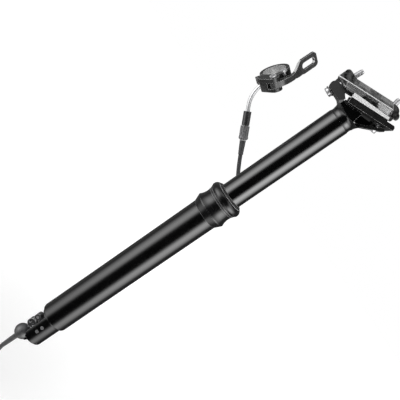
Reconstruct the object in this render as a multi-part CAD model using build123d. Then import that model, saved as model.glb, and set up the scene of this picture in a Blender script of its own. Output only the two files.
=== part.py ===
from build123d import *
import math
import os

# A dropper seatpost: the saddle clamp slides down on a stanchion when a thumb lever pulls a cable.
# Upright frame: +Z up the post, +X to the front of the bicycle, origin on the post's axis at the
# collar's lower rim, which is where the seat tube of the frame ends when the post is fully inserted.

# Outer tube
TUBE_R = 15.8
TUBE_BORE_R = 14.2
TUBE_LENGTH = 186.3
TUBE_RISE = 1.0  # how far the full diameter reaches above the origin, up to the collar
NECK_R = 14.9
NECK_LENGTH = 20.5
END_BORE_R = 12.4
END_LEDGE = 7.0
END_ROUND = 1.6

# Stanchion and what runs inside
TRAVEL = 110.0
STANCHION_R = 12.7
STANCHION_BORE_R = 10.7
STANCHION_FOOT = 52.0
HEAD_BASE = 148.0  # where the stanchion's cylinder starts to flare into the head
BORE_STOP = 10.0  # how far below the head's base the stanchion's bore ends
FOOT_R = 12.0
FOOT_LENGTH = 10.0
RUN_GAP = 0.04  # between a bushing and what slides in it
SEAT_GAP = 0.03  # between two pieces that are fitted together and don't move
KEY_R = 1.35
KEY_LENGTH = 12.0
KEY_DROP = 1.0
KEY_PLACE_R = 13.45
KEY_COUNT = 3
KEY_GROOVE_TOP = 6.0
KEY_GROOVE_LENGTH = 170.0
UPPER_BUSHING_LENGTH = 22.0
UPPER_BUSHING_DEPTH = 2.0

# Gas cartridge
CARTRIDGE_R = 9.5
CARTRIDGE_BORE_R = 7.5
CARTRIDGE_LIFT = 2.0  # its foot above the stanchion's foot
CARTRIDGE_HEADROOM = 10.0
CARTRIDGE_END = 6.0
CARTRIDGE_CAP_LENGTH = 12.0
ROD_R = 4.0
ROD_BORE_R = 1.9
ROD_BORE_LENGTH = 24.0
ROD_REACH = 164.3  # how far the rod stands above the outer tube's foot
PISTON_LENGTH = 8.0

# Collar and wiper
COLLAR_FOOT_R = 15.9
COLLAR_RIDGE_R = 18.6
COLLAR_TOP_RIDGE_R = 18.85
COLLAR_WAIST_R = 16.75
COLLAR_RIDGE_Z = 7.6
COLLAR_RIDGE_FLAT = 0.8
COLLAR_WAIST_Z = 16.6
COLLAR_TOP_RIDGE_Z = 24.0
COLLAR_CROWN_R = 18.2
COLLAR_CROWN_Z = 27.5
COLLAR_TOP_Z = 29.4
COLLAR_TOP_R = 16.2
COLLAR_LEDGE_Z = 21.8
COLLAR_LEDGE_R = 13.6
COLLAR_GROOVE_SHARES = (0.72, 0.84)  # places along the collar's hollow, from its lower ridge
COLLAR_GROOVE_R = 0.3
WIPER_TOP_Z = 31.5
WIPER_LIP_R = 13.0
WIPER_LIP = 0.6
WIPER_BEAD = 0.9
WIPER_FLANGE_R = 15.6
WIPER_BORE_R = 12.82

# Actuator housing at the foot
HOUSING_R = 13.6
HOUSING_LENGTH = 30.9
HOUSING_ROOF = 1.8
HOUSING_CUT_X = 1.6  # front of the housing's floor
HOUSING_CHEEK_X = 5.4  # front of its two cheeks
HOUSING_HOLLOW_Y = 8.0
HOUSING_HOLLOW_X = 10.8
HOUSING_FLOOR = 6.0
HOUSING_ROUND = 1.0
TONGUE_BACK = -3.4
TONGUE_FRONT = 0.3
TONGUE_HALF = 4.0
TONGUE_DROP = 8.8
TONGUE_TOE = 1.2
TONGUE_HEEL = 5.2
STOP_STUB_R = 1.8
STOP_STUB_REACH = 5.6
SCREW_DOT_R = 1.7
SCREW_DOT_X = -1.2
SCREW_DOT_LENGTH = 5.0
SCREW_DOT_PROUD = 0.4
SCREW_DOT_DROPS = (9.9, 16.6)  # below the outer tube's foot, as all drops here
PIVOT_X = -7.6
PIVOT_DROP = 13.2
PIVOT_R = 1.5
BRACKET_INNER_Y = 4.2
BRACKET_TOP = 5.0
BRACKET_DEPTH = 7.2
BRACKET_SOLE = 1.4

# Actuator lever, its cable anchor and the ball that stops the housing
LEVER_HALF = 3.6
LEVER_EYE_R = 3.2
RING_X = 9.8
RING_DROP = 12.6
RING_R = 3.4
RING_HOLE_R = 1.3
ANCHOR_X = 8.8
ANCHOR_DROP = 21.6
ANCHOR_R = 4.7
ANCHOR_HALF = 4.2
ANCHOR_SOCKET_R = 1.2
ANCHOR_SOCKET_STEP = 4.2
ANCHOR_SOCKET_DEPTH = 3.0
LEVER_BAR = 2.2
VALVE_R = 1.5
VALVE_HEAD_R = 2.3
VALVE_HEAD = 2.0
VALVE_GAP = 0.2
VALVE_HOLE_R = 2.1
VALVE_RISE = 16.3
STOP_X = 7.2
STOP_DROP = 37.5
STOP_R = 8.2
STOP_BORE_R = 1.4
STOP_FLAT = 0.8
FOOT_BOOT_R = 2.8
FOOT_BOOT_END_R = 2.3
FOOT_BOOT_LENGTH = 20.0

# Head of the stanchion
LIP_X = 9.5
LIP_RISE = 14.0  # above the head's base, as all rises of the head and clamp
CLAMP_SLOPE = 21.6
HEAD_HALF = 15.0
FLARE_R = 14.0
HEAD_EDGE_R = 1.0
FLARE_TURNS = (35.0, 55.0)  # degrees round the trumpet's arc, at its middle and its end
EAR_X = 27.8
EAR_RISE = 14.6
EAR_R = 4.4
EAR_HALF = 9.5
EAR_BACK_X = 13.2
EAR_STEP_X = 17.0
EAR_STEP_RISE = 20.5
EAR_STEP_R = 3.5
EAR_STEP_HALF = 9.0
CROWN_GAP = 1.2
CROWN_LENGTH = 16.0
FLANGE_THICK = 2.7
FLANGE_END_X = -29.6
FLANGE_END_RISE = 25.7
FLANGE_BEND_X = -14.4
FLANGE_BEND_RISE = 11.4
FLANGE_HALF = 13.0
ROCKER_R = 16.0
ROCKER_U = 8.0
ROCKER_V = 14.0
ROCKER_GAP = 0.1
RIB_HALF = 5.0
RIB_DIP = 1.6
BOSS_R = 6.2
BOSS_RISE = 23.4

# Clamp bolts and barrel nuts
BOLT_R = 2.5
BOLT_GAP = 0.25
BOLT_HEAD_R = 4.3
BOLT_HEAD = 2.6
BOLT_HEX_R = 2.3
BOLT_HEX_DEPTH = 1.6
WASHER_R = 4.9
WASHER = 0.9
WASHER_GAP = 0.2
FRONT_BOLT_X = 26.6
FRONT_BOLT_TOP_X = 24.0
FRONT_BOLT_TOP_RISE = 42.0
REAR_BOLT_X = -22.6
REAR_BOLT_RISE = 18.6
REAR_BOLT_TOP_X = -14.2
REAR_BOLT_TOP_RISE = 53.2
NUT_R = 4.6
NUT_HOLE_R = 3.1
NUT_HALF = 18.0
NUT_GAP = 0.1
FRONT_NUT_RISE = 25.4
REAR_NUT_RISE = 39.0

# Saddle clamp
RAIL_R = 3.5
RAIL_HALF_GAUGE = 22.0
RAIL_V = 8.6
CRADLE_TAIL = 5.4  # how far the cradle reaches behind the rear bolt's slot
CRADLE_HALF = 26.0
CRADLE_LIP_V = 9.4
CRADLE_LIP_REAR_V = 7.4
CRADLE_STEP_V = 5.3
CRADLE_TAIL_V = 3.9
CRADLE_CORNER = 1.4
CRADLE_STEP = 0.4
CRADLE_WALL_V = 8.3
CRADLE_WALL_Y = 15.0
CRADLE_DECK_V = 4.4
CRADLE_DECK_Y = 12.5
CRADLE_BEVEL_U = 35.6
CRADLE_ROCKER_HALF = 12.0
CRADLE_SLOT_U = 5.4
CRADLE_SLOT_HALF = 3.6
JAW_INNER_Y = 12.0
JAW_OUTER_Y = 26.0
JAW_FOOT_V = 9.3
JAW_SKIRT_V = 13.9
JAW_TOP_V = 19.7
JAW_ARCH_V = 12.4
JAW_ARCH_U = 9.0
JAW_ARCH_LENGTH = 13.0
JAW_ARCH_SLANT = 2.5
JAW_FRONT_U = -7.0
JAW_REAR_U = 33.5
JAW_HOOK_R = 6.7
JAW_LOBE_R = 4.1
JAW_LOBE_X = -22.6
JAW_LOBE_RISE = 39.0
BLOCK_BACK_X = 20.6
BLOCK_FRONT_X = 32.4
BLOCK_FOOT_RISE = 19.7
BLOCK_TOP_RISE = 30.8
BLOCK_ROUND = 3.0

# Cable, its adjuster and the steel noodle
CORD_R = 2.0
CABLE_FOOT_X = 27.1
CABLE_Y = -31.5
CABLE_FOOT_Z = 57.2
CABLE_RISE = 44.4
BOOT_LENGTH = 13.8
BOOT_R = 2.4
BOOT_TOP_R = 3.0
ADJUSTER_GAP = 0.3
ADJUSTER_LENGTH = 14.0
ADJUSTER_R = 4.4
ADJUSTER_FLANGE_R = 4.6
ADJUSTER_FLANGE = 1.6
ADJUSTER_FLUTES = 12
ADJUSTER_FLUTE_R = 0.55
STUD_R = 2.5
STUD_LENGTH = 7.0
WIRE_BORE_R = 0.9
SLEEVE_R = 3.75
SLEEVE_LENGTH = 13.6
SLEEVE_BORE_DEPTH = 8.0
NOODLE_R = 2.0
NOODLE_BORE_R = 0.8
NOODLE_DEPTH = 5.0
NOODLE_TOP_X = 69.9
NOODLE_TOP_Z = 110.1
NOODLE_LEAN = 5.2
NOODLE_BEND_R = 30.0
NOODLE_SOCKET = 4.0

# Handlebar remote, in its own frame: x along the lever towards the noodle, z along the bar
REMOTE_X = 70.7
REMOTE_Y = -40.0
REMOTE_Z = 128.1
LEVER_RUN = (-0.2566, -0.1907, 0.9475)  # direction along the thumb lever, away from the noodle
LEVER_FACE = (-0.4533, 0.8894, 0.0557)  # direction from the bar's centre to the lever's pivot
BAR_R = 11.1
BAND_R = 14.7
BAND_HALF = 5.0
SPLIT_GAP = 0.5
BAR_EAR_REACH = 19.0
BAR_EAR_START = 13.0
BAR_EAR_DEPTH = 4.6
BAR_EAR_HALF = 3.4
CLAMP_BOLT_X = 16.2
CLAMP_BOLT_R = 1.3
CLAMP_BOLT_HEAD_R = 2.2
CLAMP_BOLT_HEAD = 2.0
CHEEK_TOP = 5.4
SLOT_TOP = 1.3
SLOT_FOOT = -4.7
CHEEK_FOOT = -8.0
THUMB_X = 6.7
THUMB_Y = 19.6
THUMB_BOSS_R = 5.6
THUMB_PIN_R = 2.0
THUMB_HEAD_R = 3.4
THUMB_HEAD = 1.6
BODY_SCREW_X = -5.2
BODY_SCREW_Y = 14.6
BODY_SCREW_R = 1.5
BODY_SCREW_HEAD_R = 3.1
BODY_SCREW_HEAD = 1.8
SOCKET_R = 3.4
BLOCK_X = 13.6
BLOCK_Y = 9.0
BLOCK_R = 5.4
SLOT_WALL_X = 13.9
SLOT_REACH = 34.0
ARM_EYE_R = 5.0
ARM_GAP = 0.3
ANCHOR_LUG_X = 10.6
ANCHOR_LUG_Y = 14.4
ANCHOR_LUG_R = 2.5
ANCHOR_POCKET_R = 3.0
ANCHOR_POCKET_X = 8.8
ANCHOR_POCKET_Y = 13.1
NIPPLE_R = 1.5
PADDLE_TOP = 6.0
PADDLE_FOOT = -8.4
PADDLE_TIP_X = -45.6
PADDLE_ROOT_X = -24.0
PADDLE_ROUND = 5.0
PADDLE_SLOT_LENGTH = 19.0
PADDLE_SLOT_HEIGHT = 6.4
PADDLE_SLOT_X = -34.4
PADDLE_SLOT_Z = -1.2
PADDLE_HEADING = 212.7

OVERRUN = 2.0  # how far a cut reaches past what it cuts

# Heights that follow from the tube's foot and the head's base
TUBE_FOOT = -TUBE_LENGTH
PIVOT_Z = TUBE_FOOT - PIVOT_DROP
RING_Z = TUBE_FOOT - RING_DROP
ANCHOR_Z = TUBE_FOOT - ANCHOR_DROP
STOP_Z = TUBE_FOOT - STOP_DROP
VALVE_TOP = TUBE_FOOT + VALVE_RISE
ROD_TOP = TUBE_FOOT + ROD_REACH
BORE_TOP = HEAD_BASE - BORE_STOP
LIP_Z = HEAD_BASE + LIP_RISE
EAR_Z = HEAD_BASE + EAR_RISE
FLANGE_END_Z = HEAD_BASE + FLANGE_END_RISE
FLANGE_BEND_Z = HEAD_BASE + FLANGE_BEND_RISE
EAR_STEP_Z = HEAD_BASE + EAR_STEP_RISE
BOSS_TOP = HEAD_BASE + BOSS_RISE
FRONT_BOLT_TOP_Z = HEAD_BASE + FRONT_BOLT_TOP_RISE
REAR_BOLT_Z = HEAD_BASE + REAR_BOLT_RISE
REAR_BOLT_TOP_Z = HEAD_BASE + REAR_BOLT_TOP_RISE
FRONT_NUT_Z = HEAD_BASE + FRONT_NUT_RISE
REAR_NUT_Z = HEAD_BASE + REAR_NUT_RISE
JAW_LOBE_Z = HEAD_BASE + JAW_LOBE_RISE
BLOCK_FOOT_Z = HEAD_BASE + BLOCK_FOOT_RISE
BLOCK_TOP_Z = HEAD_BASE + BLOCK_TOP_RISE


def turned(points):
    """A piece turned about the post's axis, from its outline in (radius, height)."""
    return revolve(Plane.XZ * make_face(Polyline(*points, close=True)), Axis.Z)


def ring(outer, inner, foot, top):
    return Pos(0, 0, foot) * extrude(Circle(outer) - Circle(inner), amount=top - foot)


def disc(radius, foot, top, x=0, y=0):
    return Pos(x, y, foot) * extrude(Circle(radius), amount=top - foot)


def rod(start, finish, radius):
    run = Vector(finish) - Vector(start)
    return Plane(origin=start, z_dir=run.normalized()) * extrude(Circle(radius), amount=run.length)


def across(face, near, far):
    """A face drawn in a plane that holds the Y axis's normal, pulled out from y = near to y = far."""
    return Pos(0, near, 0) * extrude(face, amount=far - near, dir=(0, 1, 0))


def outline(points, radii=0):
    return make_face(FilletPolyline(*points, radius=radii, close=True))


def side(face):
    """A face drawn in (x, z)."""
    return Plane.XZ * face


SLOPE = math.radians(CLAMP_SLOPE)
CLAMP_PLANE = Plane(
    origin=(LIP_X, 0, LIP_Z),
    x_dir=(-math.cos(SLOPE), 0, math.sin(SLOPE)),
    z_dir=(0, 1, 0),
)


def on_clamp(u, v, y=0):
    """A place given along the saddle rails (u, to the rear) and square to them (v, up)."""
    return CLAMP_PLANE.from_local_coords((u, v, y))


def to_clamp(x, z):
    place = CLAMP_PLANE.to_local_coords(Vector(x, 0, z))
    return place.X, place.Y


def outer_tube():
    shell = turned([
        (TUBE_BORE_R, NECK_LENGTH + TUBE_RISE),
        (NECK_R, NECK_LENGTH + TUBE_RISE),
        (NECK_R, TUBE_RISE),
        (TUBE_R, TUBE_RISE),
        (TUBE_R, END_ROUND - TUBE_LENGTH),
        (TUBE_R - END_ROUND / 4, END_ROUND / 3 - TUBE_LENGTH),
        (TUBE_R - END_ROUND, -TUBE_LENGTH),
        (END_BORE_R, -TUBE_LENGTH),
        (END_BORE_R, END_LEDGE - TUBE_LENGTH),
        (TUBE_BORE_R, END_LEDGE - TUBE_LENGTH),
    ])
    groove = disc(KEY_R + RUN_GAP, -KEY_GROOVE_TOP - KEY_GROOVE_LENGTH, -KEY_GROOVE_TOP, KEY_PLACE_R)
    for n in range(KEY_COUNT):
        shell -= Rot(0, 0, 60 + n * 360 / KEY_COUNT) * groove
    return shell


def collar():
    ridge_top = COLLAR_RIDGE_Z + COLLAR_RIDGE_FLAT
    upper_ridge_top = COLLAR_TOP_RIDGE_Z + COLLAR_RIDGE_FLAT
    hollow = ThreePointArc(
        (COLLAR_RIDGE_R, ridge_top),
        (COLLAR_WAIST_R, COLLAR_WAIST_Z),
        (COLLAR_TOP_RIDGE_R, COLLAR_TOP_RIDGE_Z),
    )
    crown = ThreePointArc(
        (COLLAR_TOP_RIDGE_R, upper_ridge_top),
        (COLLAR_CROWN_R, COLLAR_CROWN_Z),
        (COLLAR_TOP_R, COLLAR_TOP_Z),
    )
    path = [
        Line((COLLAR_FOOT_R, TUBE_RISE), (COLLAR_RIDGE_R, COLLAR_RIDGE_Z)),
        Line((COLLAR_RIDGE_R, COLLAR_RIDGE_Z), (COLLAR_RIDGE_R, ridge_top)),
        hollow,
        Line((COLLAR_TOP_RIDGE_R, COLLAR_TOP_RIDGE_Z), (COLLAR_TOP_RIDGE_R, upper_ridge_top)),
        crown,
        Polyline(
            (COLLAR_TOP_R, COLLAR_TOP_Z),
            (COLLAR_LEDGE_R, COLLAR_TOP_Z),
            (COLLAR_LEDGE_R, COLLAR_LEDGE_Z),
            (NECK_R + SEAT_GAP, COLLAR_LEDGE_Z),
            (NECK_R + SEAT_GAP, TUBE_RISE),
            (COLLAR_FOOT_R, TUBE_RISE),
        ),
    ]
    face = make_face(path)
    for share in COLLAR_GROOVE_SHARES:
        place = hollow @ share
        face -= Pos(place.X, place.Y) * Circle(COLLAR_GROOVE_R)
    return revolve(Plane.XZ * face, Axis.Z)


def wiper_seal():
    return turned([
        (WIPER_BORE_R, COLLAR_LEDGE_Z),
        (COLLAR_LEDGE_R - SEAT_GAP, COLLAR_LEDGE_Z),
        (COLLAR_LEDGE_R - SEAT_GAP, COLLAR_TOP_Z),
        (WIPER_FLANGE_R, COLLAR_TOP_Z),
        (WIPER_FLANGE_R - WIPER_LIP, COLLAR_TOP_Z + WIPER_BEAD),
        (WIPER_LIP_R + WIPER_LIP, WIPER_TOP_Z - WIPER_LIP),
        (WIPER_LIP_R, WIPER_TOP_Z),
        (WIPER_BORE_R, WIPER_TOP_Z),
    ])


def upper_bushing():
    return ring(TUBE_BORE_R - SEAT_GAP, STANCHION_R + RUN_GAP,
                -UPPER_BUSHING_DEPTH - UPPER_BUSHING_LENGTH, -UPPER_BUSHING_DEPTH)


def lower_bushing():
    return ring(TUBE_BORE_R - RUN_GAP, FOOT_R + SEAT_GAP, -STANCHION_FOOT, FOOT_LENGTH - STANCHION_FOOT)


def key_places():
    foot = FOOT_LENGTH + KEY_DROP - STANCHION_FOOT
    return [(60 + n * 360 / KEY_COUNT, foot) for n in range(KEY_COUNT)]


def guide_key(turn, foot):
    return Rot(0, 0, turn) * disc(KEY_R, foot, foot + KEY_LENGTH, KEY_PLACE_R)


def cartridge_foot():
    return CARTRIDGE_LIFT - STANCHION_FOOT


def cartridge_body():
    foot = cartridge_foot()
    top = BORE_TOP - CARTRIDGE_HEADROOM
    return turned([
        (ROD_R + RUN_GAP, foot),
        (CARTRIDGE_R, foot),
        (CARTRIDGE_R, top - CARTRIDGE_CAP_LENGTH),
        (STANCHION_BORE_R - SEAT_GAP, top - CARTRIDGE_CAP_LENGTH),
        (STANCHION_BORE_R - SEAT_GAP, top),
        (0, top),
        (0, top - CARTRIDGE_END),
        (CARTRIDGE_BORE_R, top - CARTRIDGE_END),
        (CARTRIDGE_BORE_R, foot + CARTRIDGE_END),
        (ROD_R + RUN_GAP, foot + CARTRIDGE_END),
    ])


def cartridge_rod():
    foot = END_LEDGE - TUBE_LENGTH - HOUSING_ROOF
    return turned([
        (ROD_BORE_R, foot),
        (ROD_R, foot),
        (ROD_R, ROD_TOP),
        (CARTRIDGE_BORE_R - RUN_GAP, ROD_TOP),
        (CARTRIDGE_BORE_R - RUN_GAP, ROD_TOP + PISTON_LENGTH),
        (0, ROD_TOP + PISTON_LENGTH),
        (0, foot + ROD_BORE_LENGTH),
        (ROD_BORE_R, foot + ROD_BORE_LENGTH),
    ])


def actuator_housing():
    top = END_LEDGE - TUBE_LENGTH
    shoulder = -TUBE_LENGTH
    foot = shoulder - HOUSING_LENGTH
    body = turned([
        (0, foot),
        (HOUSING_R - HOUSING_ROUND, foot),
        (HOUSING_R, foot + HOUSING_ROUND),
        (HOUSING_R, shoulder),
        (END_BORE_R - SEAT_GAP, shoulder),
        (END_BORE_R - SEAT_GAP, top),
        (0, top),
    ])
    body -= disc(ROD_R + SEAT_GAP, top - HOUSING_ROOF, top)
    body -= disc(VALVE_HEAD_R + SEAT_GAP, foot + HOUSING_FLOOR, top)
    reach = HOUSING_R + OVERRUN
    front = side(outline([
        (HOUSING_CHEEK_X, shoulder - HOUSING_ROOF),
        (reach, shoulder - HOUSING_ROOF),
        (reach, foot - OVERRUN),
        (HOUSING_CUT_X, foot - OVERRUN),
        (HOUSING_CUT_X, foot),
        (HOUSING_CHEEK_X, foot + HOUSING_FLOOR),
    ]))
    body -= across(front, -reach, reach)
    sill = side(outline([
        (HOUSING_CUT_X, shoulder - HOUSING_ROOF),
        (reach, shoulder - HOUSING_ROOF),
        (reach, foot - OVERRUN),
        (HOUSING_CUT_X, foot - OVERRUN),
    ]))
    body -= across(sill, -HOUSING_HOLLOW_Y, HOUSING_HOLLOW_Y)
    hollow = side(outline([
        (-HOUSING_HOLLOW_X, shoulder - HOUSING_ROOF),
        (reach, shoulder - HOUSING_ROOF),
        (reach, foot + HOUSING_FLOOR),
        (-HOUSING_HOLLOW_X, foot + HOUSING_FLOOR),
    ]))
    body -= across(hollow, -HOUSING_HOLLOW_Y, HOUSING_HOLLOW_Y)
    tongue = side(outline([
        (TONGUE_BACK, foot),
        (TONGUE_FRONT, foot),
        (TONGUE_FRONT, foot - TONGUE_DROP),
        (TONGUE_FRONT - TONGUE_TOE, foot - TONGUE_DROP),
        (TONGUE_BACK, foot - TONGUE_DROP + TONGUE_HEEL),
    ]))
    body += across(tongue, -TONGUE_HALF, TONGUE_HALF)
    body += rod((TONGUE_FRONT - TONGUE_TOE / 2, 0, STOP_Z), (STOP_STUB_REACH, 0, STOP_Z), STOP_STUB_R)
    for y, dot in screw_places():
        inner, outer = math.copysign(HOUSING_HOLLOW_Y, y), y + math.copysign(OVERRUN, y)
        body -= rod((SCREW_DOT_X, inner, dot), (SCREW_DOT_X, outer, dot), SCREW_DOT_R + SEAT_GAP)
    return body


def screw_places():
    edge = math.sqrt(HOUSING_R ** 2 - SCREW_DOT_X ** 2)
    return [(sign * edge, TUBE_FOOT - drop) for sign in (1, -1) for drop in SCREW_DOT_DROPS]


def housing_screw(y, z):
    """A screw through the housing's cheek; its head stands a little proud."""
    reach = math.copysign(abs(y) - SCREW_DOT_LENGTH, y)
    return rod((SCREW_DOT_X, reach, z), (SCREW_DOT_X, y + math.copysign(SCREW_DOT_PROUD, y), z), SCREW_DOT_R)


def pivot_bracket():
    """The U-shaped bracket in the housing that carries the lever's pivot pin."""
    top = PIVOT_Z + BRACKET_TOP
    foot = PIVOT_Z - BRACKET_DEPTH
    back = -HOUSING_HOLLOW_X + SEAT_GAP
    front = HOUSING_CUT_X
    wide = HOUSING_HOLLOW_Y - SEAT_GAP
    block = across(side(outline([(back, foot), (front, foot), (front, top), (back, top)])), -wide, wide)
    block -= across(
        side(outline([(back - OVERRUN, foot + BRACKET_SOLE), (front + OVERRUN, foot + BRACKET_SOLE),
                      (front + OVERRUN, top + OVERRUN), (back - OVERRUN, top + OVERRUN)])),
        -BRACKET_INNER_Y, BRACKET_INNER_Y)
    return block - rod((PIVOT_X, -wide, PIVOT_Z), (PIVOT_X, wide, PIVOT_Z), PIVOT_R + SEAT_GAP)


def pivot_pin():
    wide = HOUSING_HOLLOW_Y - 2 * SEAT_GAP
    return rod((PIVOT_X, -wide, PIVOT_Z), (PIVOT_X, wide, PIVOT_Z), PIVOT_R)


def actuator_lever():
    """Rises from its pivot to the ring in front, and hangs the cable anchor below the ring."""
    bar = side(outline([
        (PIVOT_X, PIVOT_Z - LEVER_BAR),
        (RING_X, RING_Z - LEVER_BAR),
        (RING_X, RING_Z + LEVER_BAR),
        (PIVOT_X, PIVOT_Z + LEVER_BAR),
    ]))
    drop = side(outline([
        (RING_X - LEVER_BAR, RING_Z),
        (RING_X + LEVER_BAR, RING_Z),
        (ANCHOR_X + LEVER_BAR, ANCHOR_Z),
        (ANCHOR_X - LEVER_BAR, ANCHOR_Z),
    ]))
    eye = (PIVOT_X, -LEVER_HALF, PIVOT_Z)
    lever = across(bar, -LEVER_HALF, LEVER_HALF) + across(drop, -LEVER_HALF, LEVER_HALF)
    lever += rod(eye, (PIVOT_X, LEVER_HALF, PIVOT_Z), LEVER_EYE_R)
    lever += rod((RING_X, -ANCHOR_HALF, RING_Z), (RING_X, ANCHOR_HALF, RING_Z), RING_R)
    lever += rod((ANCHOR_X, -ANCHOR_HALF, ANCHOR_Z), (ANCHOR_X, ANCHOR_HALF, ANCHOR_Z), ANCHOR_R)
    lever -= rod(eye, (PIVOT_X, LEVER_HALF, PIVOT_Z), PIVOT_R + RUN_GAP)
    lever -= rod((RING_X, -ANCHOR_HALF, RING_Z), (RING_X, ANCHOR_HALF, RING_Z), RING_HOLE_R)
    lever -= disc(VALVE_HOLE_R, ANCHOR_Z, RING_Z + ANCHOR_R)
    for step in (-1, 1):
        x = ANCHOR_X + step * ANCHOR_SOCKET_STEP / 2
        lever -= rod((x, ANCHOR_HALF - ANCHOR_SOCKET_DEPTH, ANCHOR_Z), (x, ANCHOR_HALF, ANCHOR_Z),
                     ANCHOR_SOCKET_R)
    return lever


def anchor_pin():
    """The pin through the lever's ring."""
    return rod((RING_X, -ANCHOR_HALF, RING_Z), (RING_X, ANCHOR_HALF, RING_Z), RING_HOLE_R - SEAT_GAP)


def valve_pin():
    share = (RING_Z - PIVOT_Z) / (RING_X - PIVOT_X)
    under = PIVOT_Z - LEVER_BAR - PIVOT_X * share - VALVE_GAP - VALVE_HEAD_R * abs(share)
    return disc(VALVE_R, under, VALVE_TOP) + disc(VALVE_HEAD_R, under - VALVE_HEAD, under)


def cable_stop():
    """The round stop that the housing's boot is pressed into; its wire bore runs down the middle."""
    ball = Pos(STOP_X, 0, STOP_Z) * Sphere(STOP_R)
    base = STOP_Z - STOP_R
    ball -= disc(STOP_R, base - OVERRUN, base + STOP_FLAT, STOP_X)
    ball -= disc(STOP_BORE_R, base, STOP_Z + STOP_R, STOP_X)
    back = side(outline([
        (TONGUE_FRONT + SEAT_GAP, base),
        (TONGUE_FRONT + SEAT_GAP, STOP_Z + STOP_R),
        (STOP_X - STOP_R - OVERRUN, STOP_Z + STOP_R),
        (STOP_X - STOP_R - OVERRUN, base),
    ]))
    ball -= across(back, -STOP_R, STOP_R)
    return ball - rod((STOP_X - STOP_R, 0, STOP_Z), (STOP_STUB_REACH + SEAT_GAP, 0, STOP_Z),
                      STOP_STUB_R + SEAT_GAP)


def stop_foot():
    return STOP_Z - STOP_R + STOP_FLAT


def foot_boot():
    foot = stop_foot() - FOOT_BOOT_LENGTH
    cone = Pos(STOP_X, 0, foot) * Plane.XY * Cone(
        FOOT_BOOT_END_R, FOOT_BOOT_R, FOOT_BOOT_LENGTH, align=(Align.CENTER, Align.CENTER, Align.MIN))
    return cone


def flare():
    """The trumpet that the round stanchion swells into below the head."""
    wide = EAR_X + EAR_R + OVERRUN
    shoulder = EAR_Z - EAR_R
    high = REAR_BOLT_TOP_Z
    middle, last = [math.radians(turn) for turn in FLARE_TURNS]
    rim = (STANCHION_R + FLARE_R * (1 - math.cos(last)), shoulder - CROWN_GAP)
    path = [
        ThreePointArc(
            (STANCHION_R, HEAD_BASE),
            (STANCHION_R + FLARE_R * (1 - math.cos(middle)), HEAD_BASE + FLARE_R * math.sin(middle)),
            rim,
        ),
        Polyline(
            rim,
            (wide, shoulder),
            (wide * 2, shoulder),
            (wide * 2, high),
            (0, high),
            (0, HEAD_BASE),
            (STANCHION_R, HEAD_BASE),
        ),
    ]
    return revolve(Plane.XZ * make_face(path), Axis.Z)


def head_outline():
    """The head seen from its side: ear in front, crown in the middle, flange to the rear."""
    crown_front = on_clamp(0, -CROWN_GAP)
    crown_rear = on_clamp(CROWN_LENGTH, -CROWN_GAP)
    run = math.atan2(FLANGE_END_Z - FLANGE_BEND_Z, FLANGE_BEND_X - FLANGE_END_X)
    lift_x, lift_z = FLANGE_THICK * math.sin(run), FLANGE_THICK * math.cos(run)
    inner_x = crown_rear.X - CROWN_GAP
    inner_z = FLANGE_BEND_Z + lift_z - (inner_x - FLANGE_BEND_X - lift_x) * math.tan(run)
    return [
        (STANCHION_R, HEAD_BASE),
        (STANCHION_R, EAR_Z - EAR_R),
        (EAR_X, EAR_Z - EAR_R),
        (EAR_X + EAR_R, EAR_Z),
        (EAR_X, EAR_Z + EAR_R),
        (EAR_BACK_X, EAR_Z + EAR_R),
        (EAR_BACK_X, crown_front.Z),
        (crown_front.X, crown_front.Z),
        (crown_rear.X, crown_rear.Z),
        (inner_x, inner_z),
        (FLANGE_END_X + lift_x, FLANGE_END_Z + lift_z),
        (FLANGE_END_X, FLANGE_END_Z),
        (FLANGE_BEND_X, FLANGE_BEND_Z),
        (-STANCHION_R, HEAD_BASE + FLARE_R / 2),
        (-STANCHION_R, HEAD_BASE),
    ]


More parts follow.
